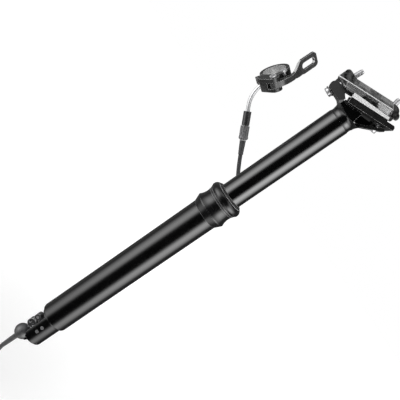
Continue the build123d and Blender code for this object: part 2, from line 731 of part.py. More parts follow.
def stanchion():
    """The stanchion and its forged head, one piece."""
    tube = disc(STANCHION_R, -STANCHION_FOOT, HEAD_BASE)
    tube -= ring(STANCHION_R + OVERRUN, FOOT_R, -STANCHION_FOOT, FOOT_LENGTH - STANCHION_FOOT)
    points = head_outline()
    broad, small = FLARE_R / 3, HEAD_EDGE_R
    rounds = [0, broad, 0, 0, 0, small, small, 0, 0, small, small, small, FLARE_R / 2, broad, 0]
    silhouette = side(outline(points, rounds))
    head = across(silhouette, -HEAD_HALF, HEAD_HALF)
    head += rod((EAR_X, -EAR_HALF, EAR_Z), (EAR_X, EAR_HALF, EAR_Z), EAR_R)
    narrow = Pos(0, 0, HEAD_BASE) * extrude(
        outline([
            (EAR_X + EAR_R + OVERRUN, -EAR_HALF + EAR_R / 2),
            (EAR_X + EAR_R + OVERRUN, EAR_HALF - EAR_R / 2),
            (STANCHION_R, HEAD_HALF),
            (-STANCHION_R, HEAD_HALF),
            (FLANGE_END_X - OVERRUN, FLANGE_HALF - EAR_R / 2),
            (FLANGE_END_X - OVERRUN, -FLANGE_HALF + EAR_R / 2),
            (-STANCHION_R, -HEAD_HALF),
            (STANCHION_R, -HEAD_HALF),
        ]), amount=REAR_BOLT_TOP_RISE)
    head = head & narrow & flare()
    head += rod((EAR_STEP_X, -EAR_STEP_HALF, EAR_STEP_Z), (EAR_STEP_X, EAR_STEP_HALF, EAR_STEP_Z),
                EAR_STEP_R)
    boss_foot = REAR_BOLT_Z - OVERRUN
    boss = disc(BOSS_R, HEAD_BASE, BOSS_TOP, rear_bolt_at(BOSS_TOP).X)
    under = side(outline([
        (FLANGE_END_X, FLANGE_END_Z),
        (FLANGE_BEND_X, FLANGE_BEND_Z),
        (FLANGE_BEND_X, BOSS_TOP + OVERRUN),
        (FLANGE_END_X, BOSS_TOP + OVERRUN),
    ]))
    head += boss & across(under, -BOSS_R, BOSS_R)
    rib_front = on_clamp(CROWN_LENGTH / 2, -CROWN_GAP)
    rib_rear = on_clamp(CROWN_LENGTH * 2, -CROWN_GAP - RIB_DIP)
    rib = side(outline([
        (rib_front.X, rib_front.Z),
        (rib_rear.X, rib_rear.Z),
        ((FLANGE_BEND_X + FLANGE_END_X) / 2, (FLANGE_BEND_Z + FLANGE_END_Z) / 2),
        (FLANGE_BEND_X, FLANGE_BEND_Z + FLANGE_THICK / 3),
        (0, EAR_Z - EAR_R),
    ]))
    head += across(rib, -RIB_HALF, RIB_HALF)
    wide = HEAD_HALF + OVERRUN
    head -= rod(on_clamp(ROCKER_U, ROCKER_V, -wide), on_clamp(ROCKER_U, ROCKER_V, wide),
                ROCKER_R + ROCKER_GAP)
    body = tube + head
    body -= disc(STANCHION_BORE_R, -STANCHION_FOOT, BORE_TOP)
    for turn, foot in key_places():
        seat = disc(KEY_R + SEAT_GAP, foot - RUN_GAP, foot + KEY_LENGTH + RUN_GAP, KEY_PLACE_R)
        body -= Rot(0, 0, turn) * seat
    body -= rod(front_bolt_at(HEAD_BASE), front_bolt_at(FRONT_BOLT_TOP_Z), BOLT_R + BOLT_GAP)
    body -= rod(rear_bolt_at(boss_foot), rear_bolt_at(REAR_BOLT_TOP_Z), BOLT_R + BOLT_GAP)
    body -= rod(rear_bolt_at(HEAD_BASE), rear_bolt_at(REAR_BOLT_Z + BOLT_HEAD), BOLT_HEAD_R + BOLT_GAP)
    return body


def front_bolt_at(z):
    """Where the front bolt's axis is at height z. It leans a little to the rear."""
    foot = EAR_Z - EAR_R
    share = (z - foot) / (FRONT_BOLT_TOP_Z - foot)
    return Vector(FRONT_BOLT_X + (FRONT_BOLT_TOP_X - FRONT_BOLT_X) * share, 0, z)


def rear_bolt_at(z):
    share = (z - REAR_BOLT_Z) / (REAR_BOLT_TOP_Z - REAR_BOLT_Z)
    return Vector(REAR_BOLT_X + (REAR_BOLT_TOP_X - REAR_BOLT_X) * share, 0, z)


def clamp_bolt_piece(foot, top):
    """A socket head bolt from its head's seat to its tip."""
    run = (top - foot).normalized()
    head_foot = foot - run * BOLT_HEAD
    bolt = rod(foot, top, BOLT_R) + rod(head_foot, foot, BOLT_HEAD_R)
    plane = Plane(origin=head_foot, z_dir=run)
    return bolt - plane * extrude(RegularPolygon(BOLT_HEX_R, 6), amount=BOLT_HEX_DEPTH)


def front_bolt_seat():
    run = (front_bolt_at(FRONT_BOLT_TOP_Z) - front_bolt_at(HEAD_BASE)).normalized()
    lean = abs(run.X / run.Z) * WASHER_R
    return front_bolt_at(EAR_Z - EAR_R - lean - WASHER_GAP), run


def front_washer():
    seat, run = front_bolt_seat()
    return rod(seat - run * WASHER, seat, WASHER_R) - rod(seat - run * WASHER, seat, BOLT_R + SEAT_GAP)


def front_bolt():
    seat, run = front_bolt_seat()
    return clamp_bolt_piece(seat - run * (WASHER + SEAT_GAP), front_bolt_at(FRONT_BOLT_TOP_Z))


def rear_bolt():
    seat = rear_bolt_at(REAR_BOLT_Z + BOLT_HEAD - WASHER_GAP)
    return clamp_bolt_piece(seat, rear_bolt_at(REAR_BOLT_TOP_Z))


def barrel_nut(centre, low, high):
    nut = rod(centre - Vector(0, NUT_HALF, 0), centre + Vector(0, NUT_HALF, 0), NUT_R)
    return nut - rod(low, high, NUT_HOLE_R)


def front_nut():
    return barrel_nut(front_bolt_at(FRONT_NUT_Z), front_bolt_at(FRONT_NUT_Z - NUT_R * 2),
                      front_bolt_at(FRONT_NUT_Z + NUT_R * 2))


def rear_nut():
    return barrel_nut(rear_bolt_at(REAR_NUT_Z), rear_bolt_at(REAR_NUT_Z - NUT_R * 2),
                      rear_bolt_at(REAR_NUT_Z + NUT_R * 2))


def slot_middle():
    """Where the rear bolt crosses the cradle, along the rails."""
    low, high = rear_bolt_at(BOSS_TOP - OVERRUN), rear_bolt_at(REAR_NUT_Z)
    return to_clamp((low.X + high.X) / 2, (low.Z + high.Z) / 2)[0]


def cradle_length():
    return slot_middle() + CRADLE_SLOT_U + CRADLE_TAIL


def rail_bore(sign):
    length = cradle_length()
    start = on_clamp(-length, RAIL_V, sign * RAIL_HALF_GAUGE)
    finish = on_clamp(length * 2, RAIL_V, sign * RAIL_HALF_GAUGE)
    return rod(start, finish, RAIL_R)


def lower_cradle():
    """Carries the rails in two troughs and rocks on the head's crown."""
    length = cradle_length()
    wide = CRADLE_HALF + CRADLE_STEP
    half = [
        (0, 0),
        (wide, 0),
        (wide, CRADLE_STEP_V),
        (CRADLE_HALF, CRADLE_STEP_V + CRADLE_STEP),
        (CRADLE_HALF, CRADLE_LIP_V),
        (RAIL_HALF_GAUGE, CRADLE_LIP_V),
        (RAIL_HALF_GAUGE, CRADLE_WALL_V),
        (CRADLE_WALL_Y, CRADLE_WALL_V),
        (CRADLE_DECK_Y, CRADLE_DECK_V),
        (0, CRADLE_DECK_V),
    ]
    cross = Plane(origin=on_clamp(0, 0), x_dir=(0, -1, 0), z_dir=CLAMP_PLANE.x_dir)
    body = extrude(cross * (outline(half) + mirror(outline(half), Plane.YZ)), amount=length)
    rocker = rod(on_clamp(ROCKER_U, ROCKER_V, -CRADLE_ROCKER_HALF),
                 on_clamp(ROCKER_U, ROCKER_V, CRADLE_ROCKER_HALF), ROCKER_R)
    below = across(CLAMP_PLANE * outline([
        (-ROCKER_R, OVERRUN), (-ROCKER_R, -ROCKER_R), (2 * ROCKER_R, -ROCKER_R), (2 * ROCKER_R, OVERRUN)]),
        -HEAD_HALF, HEAD_HALF)
    body += rocker & below
    high = CRADLE_LIP_V + OVERRUN
    tail = across(CLAMP_PLANE * outline([
        (length + OVERRUN, high),
        (CRADLE_BEVEL_U, high),
        (CRADLE_BEVEL_U, CRADLE_TAIL_V),
        (length - CRADLE_CORNER, CRADLE_TAIL_V),
        (length, CRADLE_TAIL_V - CRADLE_CORNER),
        (length + OVERRUN, CRADLE_TAIL_V - CRADLE_CORNER),
    ]), -wide - OVERRUN, wide + OVERRUN)
    body -= tail
    for sign in (-1, 1):
        brow = across(CLAMP_PLANE * outline([
            (0, CRADLE_LIP_V), (length, CRADLE_LIP_REAR_V), (length, high), (0, high)]),
            sign * RAIL_HALF_GAUGE, sign * (wide + OVERRUN))
        body = body - brow - rail_bore(sign)
    opening = Rectangle(2 * CRADLE_SLOT_U, 2 * CRADLE_DECK_V)
    slot = CLAMP_PLANE * Pos(slot_middle(), CRADLE_DECK_V / 2) * opening
    return body - across(slot, -CRADLE_SLOT_HALF, CRADLE_SLOT_HALF)


def jaw_profile():
    arch_end = JAW_ARCH_U + JAW_ARCH_LENGTH
    return outline([
        (JAW_FRONT_U, JAW_FOOT_V),
        (JAW_ARCH_U - JAW_ARCH_SLANT, JAW_FOOT_V),
        (JAW_ARCH_U, JAW_ARCH_V),
        (arch_end, JAW_ARCH_V),
        (arch_end + JAW_ARCH_SLANT, JAW_FOOT_V),
        (JAW_REAR_U, JAW_FOOT_V),
        (JAW_REAR_U + JAW_ARCH_SLANT, JAW_FOOT_V + JAW_ARCH_SLANT),
        (JAW_REAR_U - JAW_ARCH_SLANT, JAW_TOP_V),
        (JAW_FRONT_U, JAW_TOP_V),
        (JAW_FRONT_U - JAW_ARCH_SLANT, JAW_TOP_V - JAW_ARCH_SLANT),
        (JAW_FRONT_U - JAW_ARCH_SLANT, JAW_FOOT_V + JAW_ARCH_SLANT),
    ])


def upper_jaw(sign):
    """One side of the upper clamp, with the front block and rear lobe round the barrel nuts."""
    body = across(CLAMP_PLANE * jaw_profile(), JAW_INNER_Y, JAW_OUTER_Y)
    block = side(outline([
        (BLOCK_BACK_X, BLOCK_FOOT_Z),
        (BLOCK_FRONT_X, BLOCK_FOOT_Z),
        (BLOCK_FRONT_X, BLOCK_TOP_Z),
        (BLOCK_BACK_X, BLOCK_TOP_Z),
    ], [BLOCK_ROUND / 2, BLOCK_ROUND / 3, BLOCK_ROUND, BLOCK_ROUND / 2]))
    body += across(block, JAW_INNER_Y, JAW_OUTER_Y)
    nut = rear_bolt_at(REAR_NUT_Z)
    side_y = RAIL_HALF_GAUGE - RAIL_R
    body += rod((nut.X, JAW_INNER_Y, nut.Z), (nut.X, side_y, nut.Z), JAW_HOOK_R)
    body += rod((JAW_LOBE_X, JAW_INNER_Y, JAW_LOBE_Z), (JAW_LOBE_X, side_y, JAW_LOBE_Z), JAW_LOBE_R)
    long = 2 * cradle_length()
    foot = across(CLAMP_PLANE * outline([
        (-long, -OVERRUN), (long, -OVERRUN), (long, JAW_FOOT_V), (-long, JAW_FOOT_V)]),
        0, JAW_OUTER_Y + OVERRUN)
    skirt = across(CLAMP_PLANE * outline([
        (JAW_FRONT_U - JAW_ARCH_SLANT, -OVERRUN), (long, -OVERRUN), (long, JAW_SKIRT_V),
        (JAW_FRONT_U - JAW_ARCH_SLANT, JAW_SKIRT_V)]), RAIL_HALF_GAUGE, JAW_OUTER_Y + OVERRUN)
    body = body - foot - skirt - rail_bore(1)
    for centre in (front_bolt_at(FRONT_NUT_Z), nut):
        body -= rod((centre.X, 0, centre.Z), (centre.X, NUT_HALF + NUT_GAP, centre.Z), NUT_R + NUT_GAP)
    return body if sign > 0 else mirror(body, Plane.XZ)


RISE = math.radians(CABLE_RISE)
CABLE_RUN = Vector(math.cos(RISE), 0, math.sin(RISE))
CABLE_FOOT = Vector(CABLE_FOOT_X, CABLE_Y, CABLE_FOOT_Z)


def along_cable(distance):
    return CABLE_FOOT + CABLE_RUN * distance


def cable_plane(distance):
    return Plane(origin=along_cable(distance), x_dir=(0, 1, 0), z_dir=CABLE_RUN)


def spun(points, distance):
    """A piece turned about the cable's axis, from its outline in (radius, distance)."""
    return cable_plane(distance) * revolve(Plane.XZ * make_face(Polyline(*points, close=True)), Axis.Z)


def adjuster_boot():
    return spun([(0, 0), (BOOT_R, 0), (BOOT_TOP_R, BOOT_LENGTH), (0, BOOT_LENGTH)], 0)


ADJUSTER_FOOT = BOOT_LENGTH + ADJUSTER_GAP
SLEEVE_FOOT = ADJUSTER_FOOT + ADJUSTER_LENGTH + ADJUSTER_GAP
SLEEVE_TOP = SLEEVE_FOOT + SLEEVE_LENGTH


def barrel_adjuster():
    body = spun([
        (WIRE_BORE_R, 0),
        (BOOT_TOP_R, 0),
        (ADJUSTER_FLANGE_R, ADJUSTER_FLANGE),
        (ADJUSTER_FLANGE_R, 2 * ADJUSTER_FLANGE),
        (ADJUSTER_R, 2 * ADJUSTER_FLANGE),
        (ADJUSTER_R, ADJUSTER_LENGTH),
        (STUD_R, ADJUSTER_LENGTH),
        (STUD_R, ADJUSTER_LENGTH + STUD_LENGTH),
        (WIRE_BORE_R, ADJUSTER_LENGTH + STUD_LENGTH),
    ], ADJUSTER_FOOT)
    for n in range(ADJUSTER_FLUTES):
        turn = Rot(0, 0, n * 360 / ADJUSTER_FLUTES)
        flute = disc(ADJUSTER_FLUTE_R, 2 * ADJUSTER_FLANGE + ADJUSTER_FLUTE_R,
                     ADJUSTER_LENGTH - ADJUSTER_FLUTE_R, ADJUSTER_R)
        body -= cable_plane(ADJUSTER_FOOT) * (turn * flute)
    return body


def noodle_sleeve():
    return spun([
        (STUD_R + RUN_GAP, 0),
        (SLEEVE_R, 0),
        (SLEEVE_R, SLEEVE_LENGTH),
        (NOODLE_R + SEAT_GAP, SLEEVE_LENGTH),
        (NOODLE_R + SEAT_GAP, SLEEVE_LENGTH - NOODLE_DEPTH),
        (WIRE_BORE_R, SLEEVE_LENGTH - NOODLE_DEPTH),
        (WIRE_BORE_R, SLEEVE_BORE_DEPTH),
        (STUD_R + RUN_GAP, SLEEVE_BORE_DEPTH),
    ], SLEEVE_FOOT)


def noodle_corner():
    """Where the noodle's two straight runs would meet."""
    lean = math.radians(NOODLE_LEAN)
    up = Vector(math.sin(lean), 0, math.cos(lean))
    top = Vector(NOODLE_TOP_X, CABLE_Y, NOODLE_TOP_Z)
    start = along_cable(SLEEVE_TOP)
    gap = top - start
    cross = CABLE_RUN.X * up.Z - CABLE_RUN.Z * up.X
    reach = (gap.X * up.Z - gap.Z * up.X) / cross
    return start + CABLE_RUN * reach, up, top


def noodle():
    corner, up, top = noodle_corner()
    start = along_cable(SLEEVE_TOP - NOODLE_DEPTH + SEAT_GAP)
    finish = top + up * NOODLE_SOCKET
    path = FilletPolyline(start, corner, finish, radius=NOODLE_BEND_R)
    mouth = Plane(origin=start, z_dir=CABLE_RUN)
    return sweep(mouth * Circle(NOODLE_R), path=path) - sweep(mouth * Circle(NOODLE_BORE_R), path=path)


FACE = Vector(*LEVER_FACE).normalized()
AWAY = Vector(*LEVER_RUN).normalized()
BAR_AXIS = AWAY.cross(FACE).normalized() * -1
REMOTE_PLANE = Plane(origin=(REMOTE_X, REMOTE_Y, REMOTE_Z), x_dir=FACE.cross(BAR_AXIS), z_dir=BAR_AXIS)


def remote_place(x, y, z):
    return REMOTE_PLANE.from_local_coords((x, y, z))


def bar_band():
    """The one-piece ring round the bar, split between the two ears that its bolt draws together."""
    reach = BAR_EAR_REACH - BAR_EAR_START
    middle = BAR_EAR_START + reach / 2
    band = ring(BAND_R, BAR_R, -BAND_HALF, BAND_HALF)
    band += Pos(middle, 0, 0) * Box(reach, 2 * BAR_EAR_DEPTH, 2 * BAR_EAR_HALF)
    return band - Pos(middle, 0, 0) * Box(2 * reach, 2 * SPLIT_GAP, 2 * BAND_HALF)


def remote_body():
    body = bar_band()
    pads = [(THUMB_X, THUMB_Y, THUMB_BOSS_R), (BLOCK_X, BLOCK_Y, BLOCK_R)]
    plan = make_hull([e for x, y, r in pads for e in (Pos(x, y) * Circle(r)).edges()])
    screw_plan = make_hull([e for x, y, r in [(THUMB_X, THUMB_Y, THUMB_BOSS_R),
                                              (BODY_SCREW_X, BODY_SCREW_Y, BODY_SCREW_HEAD_R)]
                            for e in (Pos(x, y) * Circle(r)).edges()])
    block = Pos(0, 0, CHEEK_FOOT) * extrude(plan, amount=CHEEK_TOP - CHEEK_FOOT)
    cheek = Pos(0, 0, SLOT_TOP) * extrude(screw_plan, amount=CHEEK_TOP - SLOT_TOP, dir=(0, 0, 1))
    slot = Pos(SLOT_WALL_X - SLOT_REACH / 2, SLOT_REACH / 2, (SLOT_TOP + SLOT_FOOT) / 2) * Box(
        SLOT_REACH, SLOT_REACH, SLOT_TOP - SLOT_FOOT)
    slot -= disc(BAND_R + ARM_GAP, SLOT_FOOT, SLOT_TOP)
    body = body + block + cheek - slot
    body -= disc(ANCHOR_POCKET_R, SLOT_FOOT, SLOT_TOP, ANCHOR_POCKET_X, ANCHOR_POCKET_Y)
    body -= disc(BAR_R, CHEEK_FOOT - OVERRUN, CHEEK_TOP + OVERRUN)
    body -= disc(THUMB_PIN_R + SEAT_GAP, CHEEK_FOOT, CHEEK_TOP, THUMB_X, THUMB_Y)
    body -= disc(BODY_SCREW_R + SEAT_GAP, SLOT_TOP, CHEEK_TOP, BODY_SCREW_X, BODY_SCREW_Y)
    body -= rod((CLAMP_BOLT_X, -BAR_EAR_DEPTH, 0), (CLAMP_BOLT_X, BAR_EAR_DEPTH - CLAMP_BOLT_R, 0),
                CLAMP_BOLT_R + SEAT_GAP)
    body = REMOTE_PLANE * body
    corner, up, top = noodle_corner()
    seat = top + up * NOODLE_SOCKET
    body += rod(top, seat + up * SOCKET_R, SOCKET_R)
    return body - rod(top - up * OVERRUN, seat + up * SEAT_GAP, NOODLE_R + SEAT_GAP)


def clamp_bolt():
    y = -BAR_EAR_DEPTH - SEAT_GAP
    bolt = rod((CLAMP_BOLT_X, BAR_EAR_DEPTH - 2 * CLAMP_BOLT_R, 0), (CLAMP_BOLT_X, y, 0), CLAMP_BOLT_R)
    bolt += rod((CLAMP_BOLT_X, y, 0), (CLAMP_BOLT_X, y - CLAMP_BOLT_HEAD, 0), CLAMP_BOLT_HEAD_R)
    return REMOTE_PLANE * bolt


def lever_pivot_bolt():
    bolt = disc(THUMB_PIN_R, CHEEK_FOOT, CHEEK_TOP + SEAT_GAP, THUMB_X, THUMB_Y)
    head = CHEEK_TOP + SEAT_GAP
    bolt += disc(THUMB_HEAD_R, head, head + THUMB_HEAD, THUMB_X, THUMB_Y)
    hexagon = Pos(THUMB_X, THUMB_Y, head) * extrude(RegularPolygon(THUMB_PIN_R, 6), amount=THUMB_HEAD)
    return REMOTE_PLANE * (bolt - hexagon)


def body_screw():
    head = CHEEK_TOP + SEAT_GAP
    screw = disc(BODY_SCREW_R, SLOT_TOP + SEAT_GAP, head, BODY_SCREW_X, BODY_SCREW_Y)
    screw += disc(BODY_SCREW_HEAD_R, head, head + BODY_SCREW_HEAD, BODY_SCREW_X, BODY_SCREW_Y)
    hexagon = Pos(BODY_SCREW_X, BODY_SCREW_Y, head + BODY_SCREW_HEAD / 2) * extrude(
        RegularPolygon(BODY_SCREW_R, 6), amount=BODY_SCREW_HEAD)
    return REMOTE_PLANE * (screw - hexagon)


# The thumb lever's two edges seen along the bar, from the eye round the bar clamp to the paddle
ARM_OUTER = ((5.5, 24.4), (-3.0, 24.2), (-12.0, 19.8), (-19.5, 11.8), (-24.5, 4.2), (-45.6, -9.4))
ARM_INNER = ((-44.0, -11.9), (-22.9, 1.7), (-18.5, 7.6), (-13.0, 14.0), (-6.0, 18.0), (3.0, 16.4))


def thumb_lever():
    """A flat arm that sweeps round the bar clamp and widens into an open paddle."""
    top, foot = SLOT_TOP - ARM_GAP, SLOT_FOOT + ARM_GAP
    plan = make_face([
        Spline(*ARM_OUTER[:5]),
        Polyline(ARM_OUTER[4], ARM_OUTER[5], ARM_INNER[0], ARM_INNER[1]),
        Spline(*ARM_INNER[1:]),
        Line(ARM_INNER[5], ARM_OUTER[0]),
    ])
    tall = Pos(0, 0, PADDLE_FOOT) * extrude(plan, amount=PADDLE_TOP - PADDLE_FOOT)
    tip = PADDLE_TIP_X - OVERRUN / 4
    waist = PADDLE_ROOT_X + 2 * PADDLE_ROUND
    height = side(outline([
        (THUMB_X + ARM_EYE_R, foot),
        (THUMB_X + ARM_EYE_R, top),
        (waist, top),
        (PADDLE_ROOT_X - PADDLE_ROUND / 2, PADDLE_TOP),
        (tip, PADDLE_TOP),
        (tip, PADDLE_FOOT),
        (PADDLE_ROOT_X - PADDLE_ROUND / 2, PADDLE_FOOT),
        (waist, foot),
    ], [0, 0, PADDLE_ROUND, PADDLE_ROUND / 2, PADDLE_ROUND, PADDLE_ROUND, PADDLE_ROUND / 2, PADDLE_ROUND]))
    lever = tall & across(height, -SLOT_REACH, SLOT_REACH)
    lever += disc(ARM_EYE_R, foot, top, THUMB_X, THUMB_Y)
    lug = make_hull([e for x, y in [(THUMB_X, THUMB_Y), (ANCHOR_LUG_X, ANCHOR_LUG_Y)]
                     for e in (Pos(x, y) * Circle(ANCHOR_LUG_R)).edges()])
    lever += Pos(0, 0, foot) * extrude(lug, amount=top - foot)
    lever -= disc(THUMB_PIN_R + RUN_GAP, foot, top, THUMB_X, THUMB_Y)
    lever -= disc(NIPPLE_R + SEAT_GAP, foot, top, ANCHOR_LUG_X, ANCHOR_LUG_Y)
    heading = math.radians(PADDLE_HEADING)
    middle_share = (PADDLE_SLOT_X - ARM_OUTER[4][0]) / (ARM_OUTER[5][0] - ARM_OUTER[4][0])
    slot_y = ARM_OUTER[4][1] + (ARM_OUTER[5][1] - ARM_OUTER[4][1]) * middle_share
    window = Plane(origin=(PADDLE_SLOT_X, slot_y, PADDLE_SLOT_Z),
                   x_dir=(math.cos(heading), math.sin(heading), 0),
                   z_dir=(math.sin(heading), -math.cos(heading), 0))
    opening = SlotOverall(PADDLE_SLOT_LENGTH, PADDLE_SLOT_HEIGHT)
    slot = window * extrude(opening, amount=PADDLE_ROUND * 2, both=True)
    return REMOTE_PLANE * (lever - slot)


def cable_nipple():
    top, foot = SLOT_TOP - ARM_GAP, SLOT_FOOT + ARM_GAP
    return REMOTE_PLANE * disc(NIPPLE_R, foot, top, ANCHOR_LUG_X, ANCHOR_LUG_Y)


# The cable housing's route from the adjuster's boot to where it is put away, chosen by hand
LEAD_START = 14.0
LEAD = [
    (2.0, -31.0, 36.5),
    (0.6, -28.4, 12.0),
    (0.0, -22.4, -22.0),
    (-0.7, -19.9, -64.0),
    (-1.1, -19.5, -112.0),
    (-1.3, -19.4, -160.0),
    (-0.9, -19.6, -203.0),
    (-0.8, -19.7, -228.5),
    (7.6, -19.9, -240.5),
    (7.4, -20.4, -264.0),
    (3.2, -39.0, -295.0),
]
TAIL = [
    (STOP_X, 0, -266.0),
    (7.8, 19.0, -295.0),
]
COIL_CENTRE_Y = -10.0
COIL_Z = -323.0
COIL_OUTER_R = 29.0
COIL_STEP = 4.6
COIL_LAYER_STEP = 4.6
COIL_TURNS = 3
COIL_INWARD = 0.5  # how much tighter than the spiral the coil is where it changes layer
COIL_OUTWARD = 1.5
TAIL_X = 7.8


def corner_radius(before, corner, after, share=0.45):
    """The largest radius that the two runs at a corner leave room for, by the shorter one."""
    shorter = min((corner - before).length, (after - corner).length)
    half_turn = math.radians((corner - before).get_angle(after - corner)) / 2
    return share * shorter / math.tan(half_turn)


def cord(name, points):
    places = [Vector(*p) for p in points]
    radii = [corner_radius(*places[n - 1:n + 2]) for n in range(1, len(places) - 1)]
    path = FilletPolyline(*places, radius=radii) if radii else Line(*places)
    mouth = Plane(origin=places[0], z_dir=(places[1] - places[0]).normalized())
    tube = sweep(mouth * Circle(CORD_R), path=path)
    length = path.length
    print(f"{name}: length {length:.1f}, radii {[round(r) for r in radii]},"
          f" volume over section times length {tube.volume / (math.pi * CORD_R ** 2 * length):.4f}")
    return tube, length


def coil_stops():
    """The coil's left and right ends of each half turn, as (y, x), spiralling in and out again."""
    stops = []
    last = 2 * COIL_TURNS
    for n in range(last + 1):
        tighter = COIL_INWARD if n == last else 0
        radius = COIL_OUTER_R - n * COIL_STEP / 2 - tighter
        stops.append((radius, TAIL_X - COIL_LAYER_STEP, -1 if n % 2 == 0 else 1))
    for n in range(last + 1):
        tighter = COIL_OUTWARD if n == 0 else 0
        radius = COIL_OUTER_R - (last - n) * COIL_STEP / 2 - tighter
        stops.append((radius, TAIL_X, 1 if n % 2 == 0 else -1))
    return [Vector(x, COIL_CENTRE_Y + sign * r, COIL_Z) for r, x, sign in stops]


def housing_coil():
    stops = coil_stops()
    arcs, line = [], []
    for n, (start, finish) in enumerate(zip(stops, stops[1:])):
        middle = (start + finish) / 2
        half = (finish - start).length / 2
        crest = middle + Vector(0, 0, half * (-1 if n % 2 == 0 else 1))
        arcs.append(ThreePointArc(start, crest, finish))
        line += [(arcs[-1] @ (k / 36), len(line) + k) for k in range(36)]
    over = Vector(0, 0, 2 * CORD_R)
    path = Wire([Edge.make_line(stops[0] + over, stops[0]), *[a.edge() for a in arcs],
                 Edge.make_line(stops[-1], stops[-1] + over)])
    tube = sweep(Plane(origin=stops[0] + over, z_dir=(0, 0, -1)) * Circle(CORD_R), path=path)
    length = path.length
    dots = [p for p, _ in line]
    least = min(
        (dots[i] - dots[j]).length
        for i in range(len(dots)) for j in range(i + 20, len(dots))
    ) - 2 * CORD_R
    print(f"housing_coil: length {length:.1f}, least gap to itself {least:.2f},"
          f" volume over section times length {tube.volume / (math.pi * CORD_R ** 2 * length):.4f}")
    return tube, length


def lead_points():
    first = coil_stops()[0] + Vector(0, 0, 2 * CORD_R)
    return [CABLE_FOOT, along_cable(-LEAD_START), *LEAD, first]


def tail_points():
    last = coil_stops()[-1] + Vector(0, 0, 2 * CORD_R)
    return [Vector(STOP_X, 0, stop_foot() - FOOT_BOOT_LENGTH), *TAIL, last]


def coil_tie():
    """The strap round the coil's bottom."""
    radius = COIL_OUTER_R - COIL_TURNS * COIL_STEP / 2
    wide = COIL_TURNS * COIL_STEP / 2 + 2 * CORD_R
    deep = COIL_LAYER_STEP / 2 + 2 * CORD_R
    centre_x = TAIL_X - COIL_LAYER_STEP / 2
    centre = Plane(origin=(centre_x, COIL_CENTRE_Y, COIL_Z - radius), x_dir=(1, 0, 0), z_dir=(0, 1, 0))
    strap = RectangleRounded(2 * deep + CORD_R, 2 * wide + CORD_R, CORD_R)
    strap -= RectangleRounded(2 * deep, 2 * wide, CORD_R)
    return centre * extrude(strap, amount=CORD_R, both=True)


def main():
    os.makedirs("parts", exist_ok=True)
    lead, lead_length = cord("housing_lead", lead_points())
    tail, tail_length = cord("housing_tail", tail_points())
    coil, coil_length = housing_coil()
    print(f"cable housing in all: {lead_length + tail_length + coil_length:.0f}")
    parts = {
        "outer_tube": outer_tube(),
        "collar": collar(),
        "wiper_seal": wiper_seal(),
        "upper_bushing": upper_bushing(),
        "stanchion": stanchion(),
        "lower_bushing": lower_bushing(),
        "cartridge_body": cartridge_body(),
        "cartridge_rod": cartridge_rod(),
        "actuator_housing": actuator_housing(),
        "pivot_bracket": pivot_bracket(),
        "actuator_pivot_pin": pivot_pin(),
        "actuator_lever": actuator_lever(),
        "anchor_pin": anchor_pin(),
        "valve_pin": valve_pin(),
        "cable_stop": cable_stop(),
        "foot_boot": foot_boot(),
        "front_bolt": front_bolt(),
        "front_washer": front_washer(),
        "rear_bolt": rear_bolt(),
        "front_barrel_nut": front_nut(),
        "rear_barrel_nut": rear_nut(),
        "lower_cradle": lower_cradle(),
        "upper_jaw_left": upper_jaw(1),
        "upper_jaw_right": upper_jaw(-1),
        "housing_lead": lead,
        "housing_coil": coil,
        "housing_tail": tail,
        "coil_tie": coil_tie(),
        "adjuster_boot": adjuster_boot(),
        "barrel_adjuster": barrel_adjuster(),
        "noodle_sleeve": noodle_sleeve(),
        "noodle": noodle(),
        "remote_body": remote_body(),
        "clamp_bolt": clamp_bolt(),
        "lever_pivot_bolt": lever_pivot_bolt(),
        "body_screw": body_screw(),
        "thumb_lever": thumb_lever(),
        "cable_nipple": cable_nipple(),
    }
    for n, (turn, foot) in enumerate(key_places(), 1):
        parts[f"guide_key_{n}"] = guide_key(turn, foot)
    for n, (y, z) in enumerate(screw_places(), 1):
        parts[f"housing_screw_{n}"] = housing_screw(y, z)
    for name, shape in parts.items():
        export_step(shape, f"parts/{name}.step")
    print("rail mounts", on_clamp(cradle_length() / 2, RAIL_V, RAIL_HALF_GAUGE), CLAMP_PLANE.x_dir)
    print("rocker axis", on_clamp(ROCKER_U, ROCKER_V))
    print("bar mount", REMOTE_PLANE.origin, "axis", REMOTE_PLANE.z_dir)
    print("thumb pivot", remote_place(THUMB_X, THUMB_Y, 0))
    print("adjuster", along_cable(ADJUSTER_FOOT), CABLE_RUN)
    print("front bolt", front_bolt_at(HEAD_BASE), front_bolt_at(FRONT_BOLT_TOP_Z))
    print("rear bolt", rear_bolt_at(REAR_BOLT_Z), rear_bolt_at(REAR_BOLT_TOP_Z))


main()
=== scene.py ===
import bpy
import math
from mathutils import Matrix, Vector


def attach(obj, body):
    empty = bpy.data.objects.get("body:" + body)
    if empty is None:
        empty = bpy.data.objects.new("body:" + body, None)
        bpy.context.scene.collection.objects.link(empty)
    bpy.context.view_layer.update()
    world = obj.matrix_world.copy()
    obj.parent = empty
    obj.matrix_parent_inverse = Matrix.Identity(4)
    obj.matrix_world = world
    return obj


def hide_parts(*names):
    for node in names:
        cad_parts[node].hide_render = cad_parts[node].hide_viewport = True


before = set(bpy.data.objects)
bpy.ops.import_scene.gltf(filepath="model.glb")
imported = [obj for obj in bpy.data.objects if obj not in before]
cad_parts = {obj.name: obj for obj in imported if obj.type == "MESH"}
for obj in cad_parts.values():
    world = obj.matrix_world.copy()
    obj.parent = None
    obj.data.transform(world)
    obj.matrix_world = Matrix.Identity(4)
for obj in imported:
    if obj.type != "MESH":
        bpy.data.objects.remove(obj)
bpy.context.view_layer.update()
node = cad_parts

# Outer tube, the part that the bicycle's seat clamp grips. It is drawn aluminium, bead blasted and
# anodised black: an even dark film with a fine grain, and faint lines from the drawing die.
# Edges that bend past these limits take the edge colour: worn bare metal and a painted edge highlight.
SHARP, FULLY_WORN_AND_HIGHLIT = 0.985, 0.86


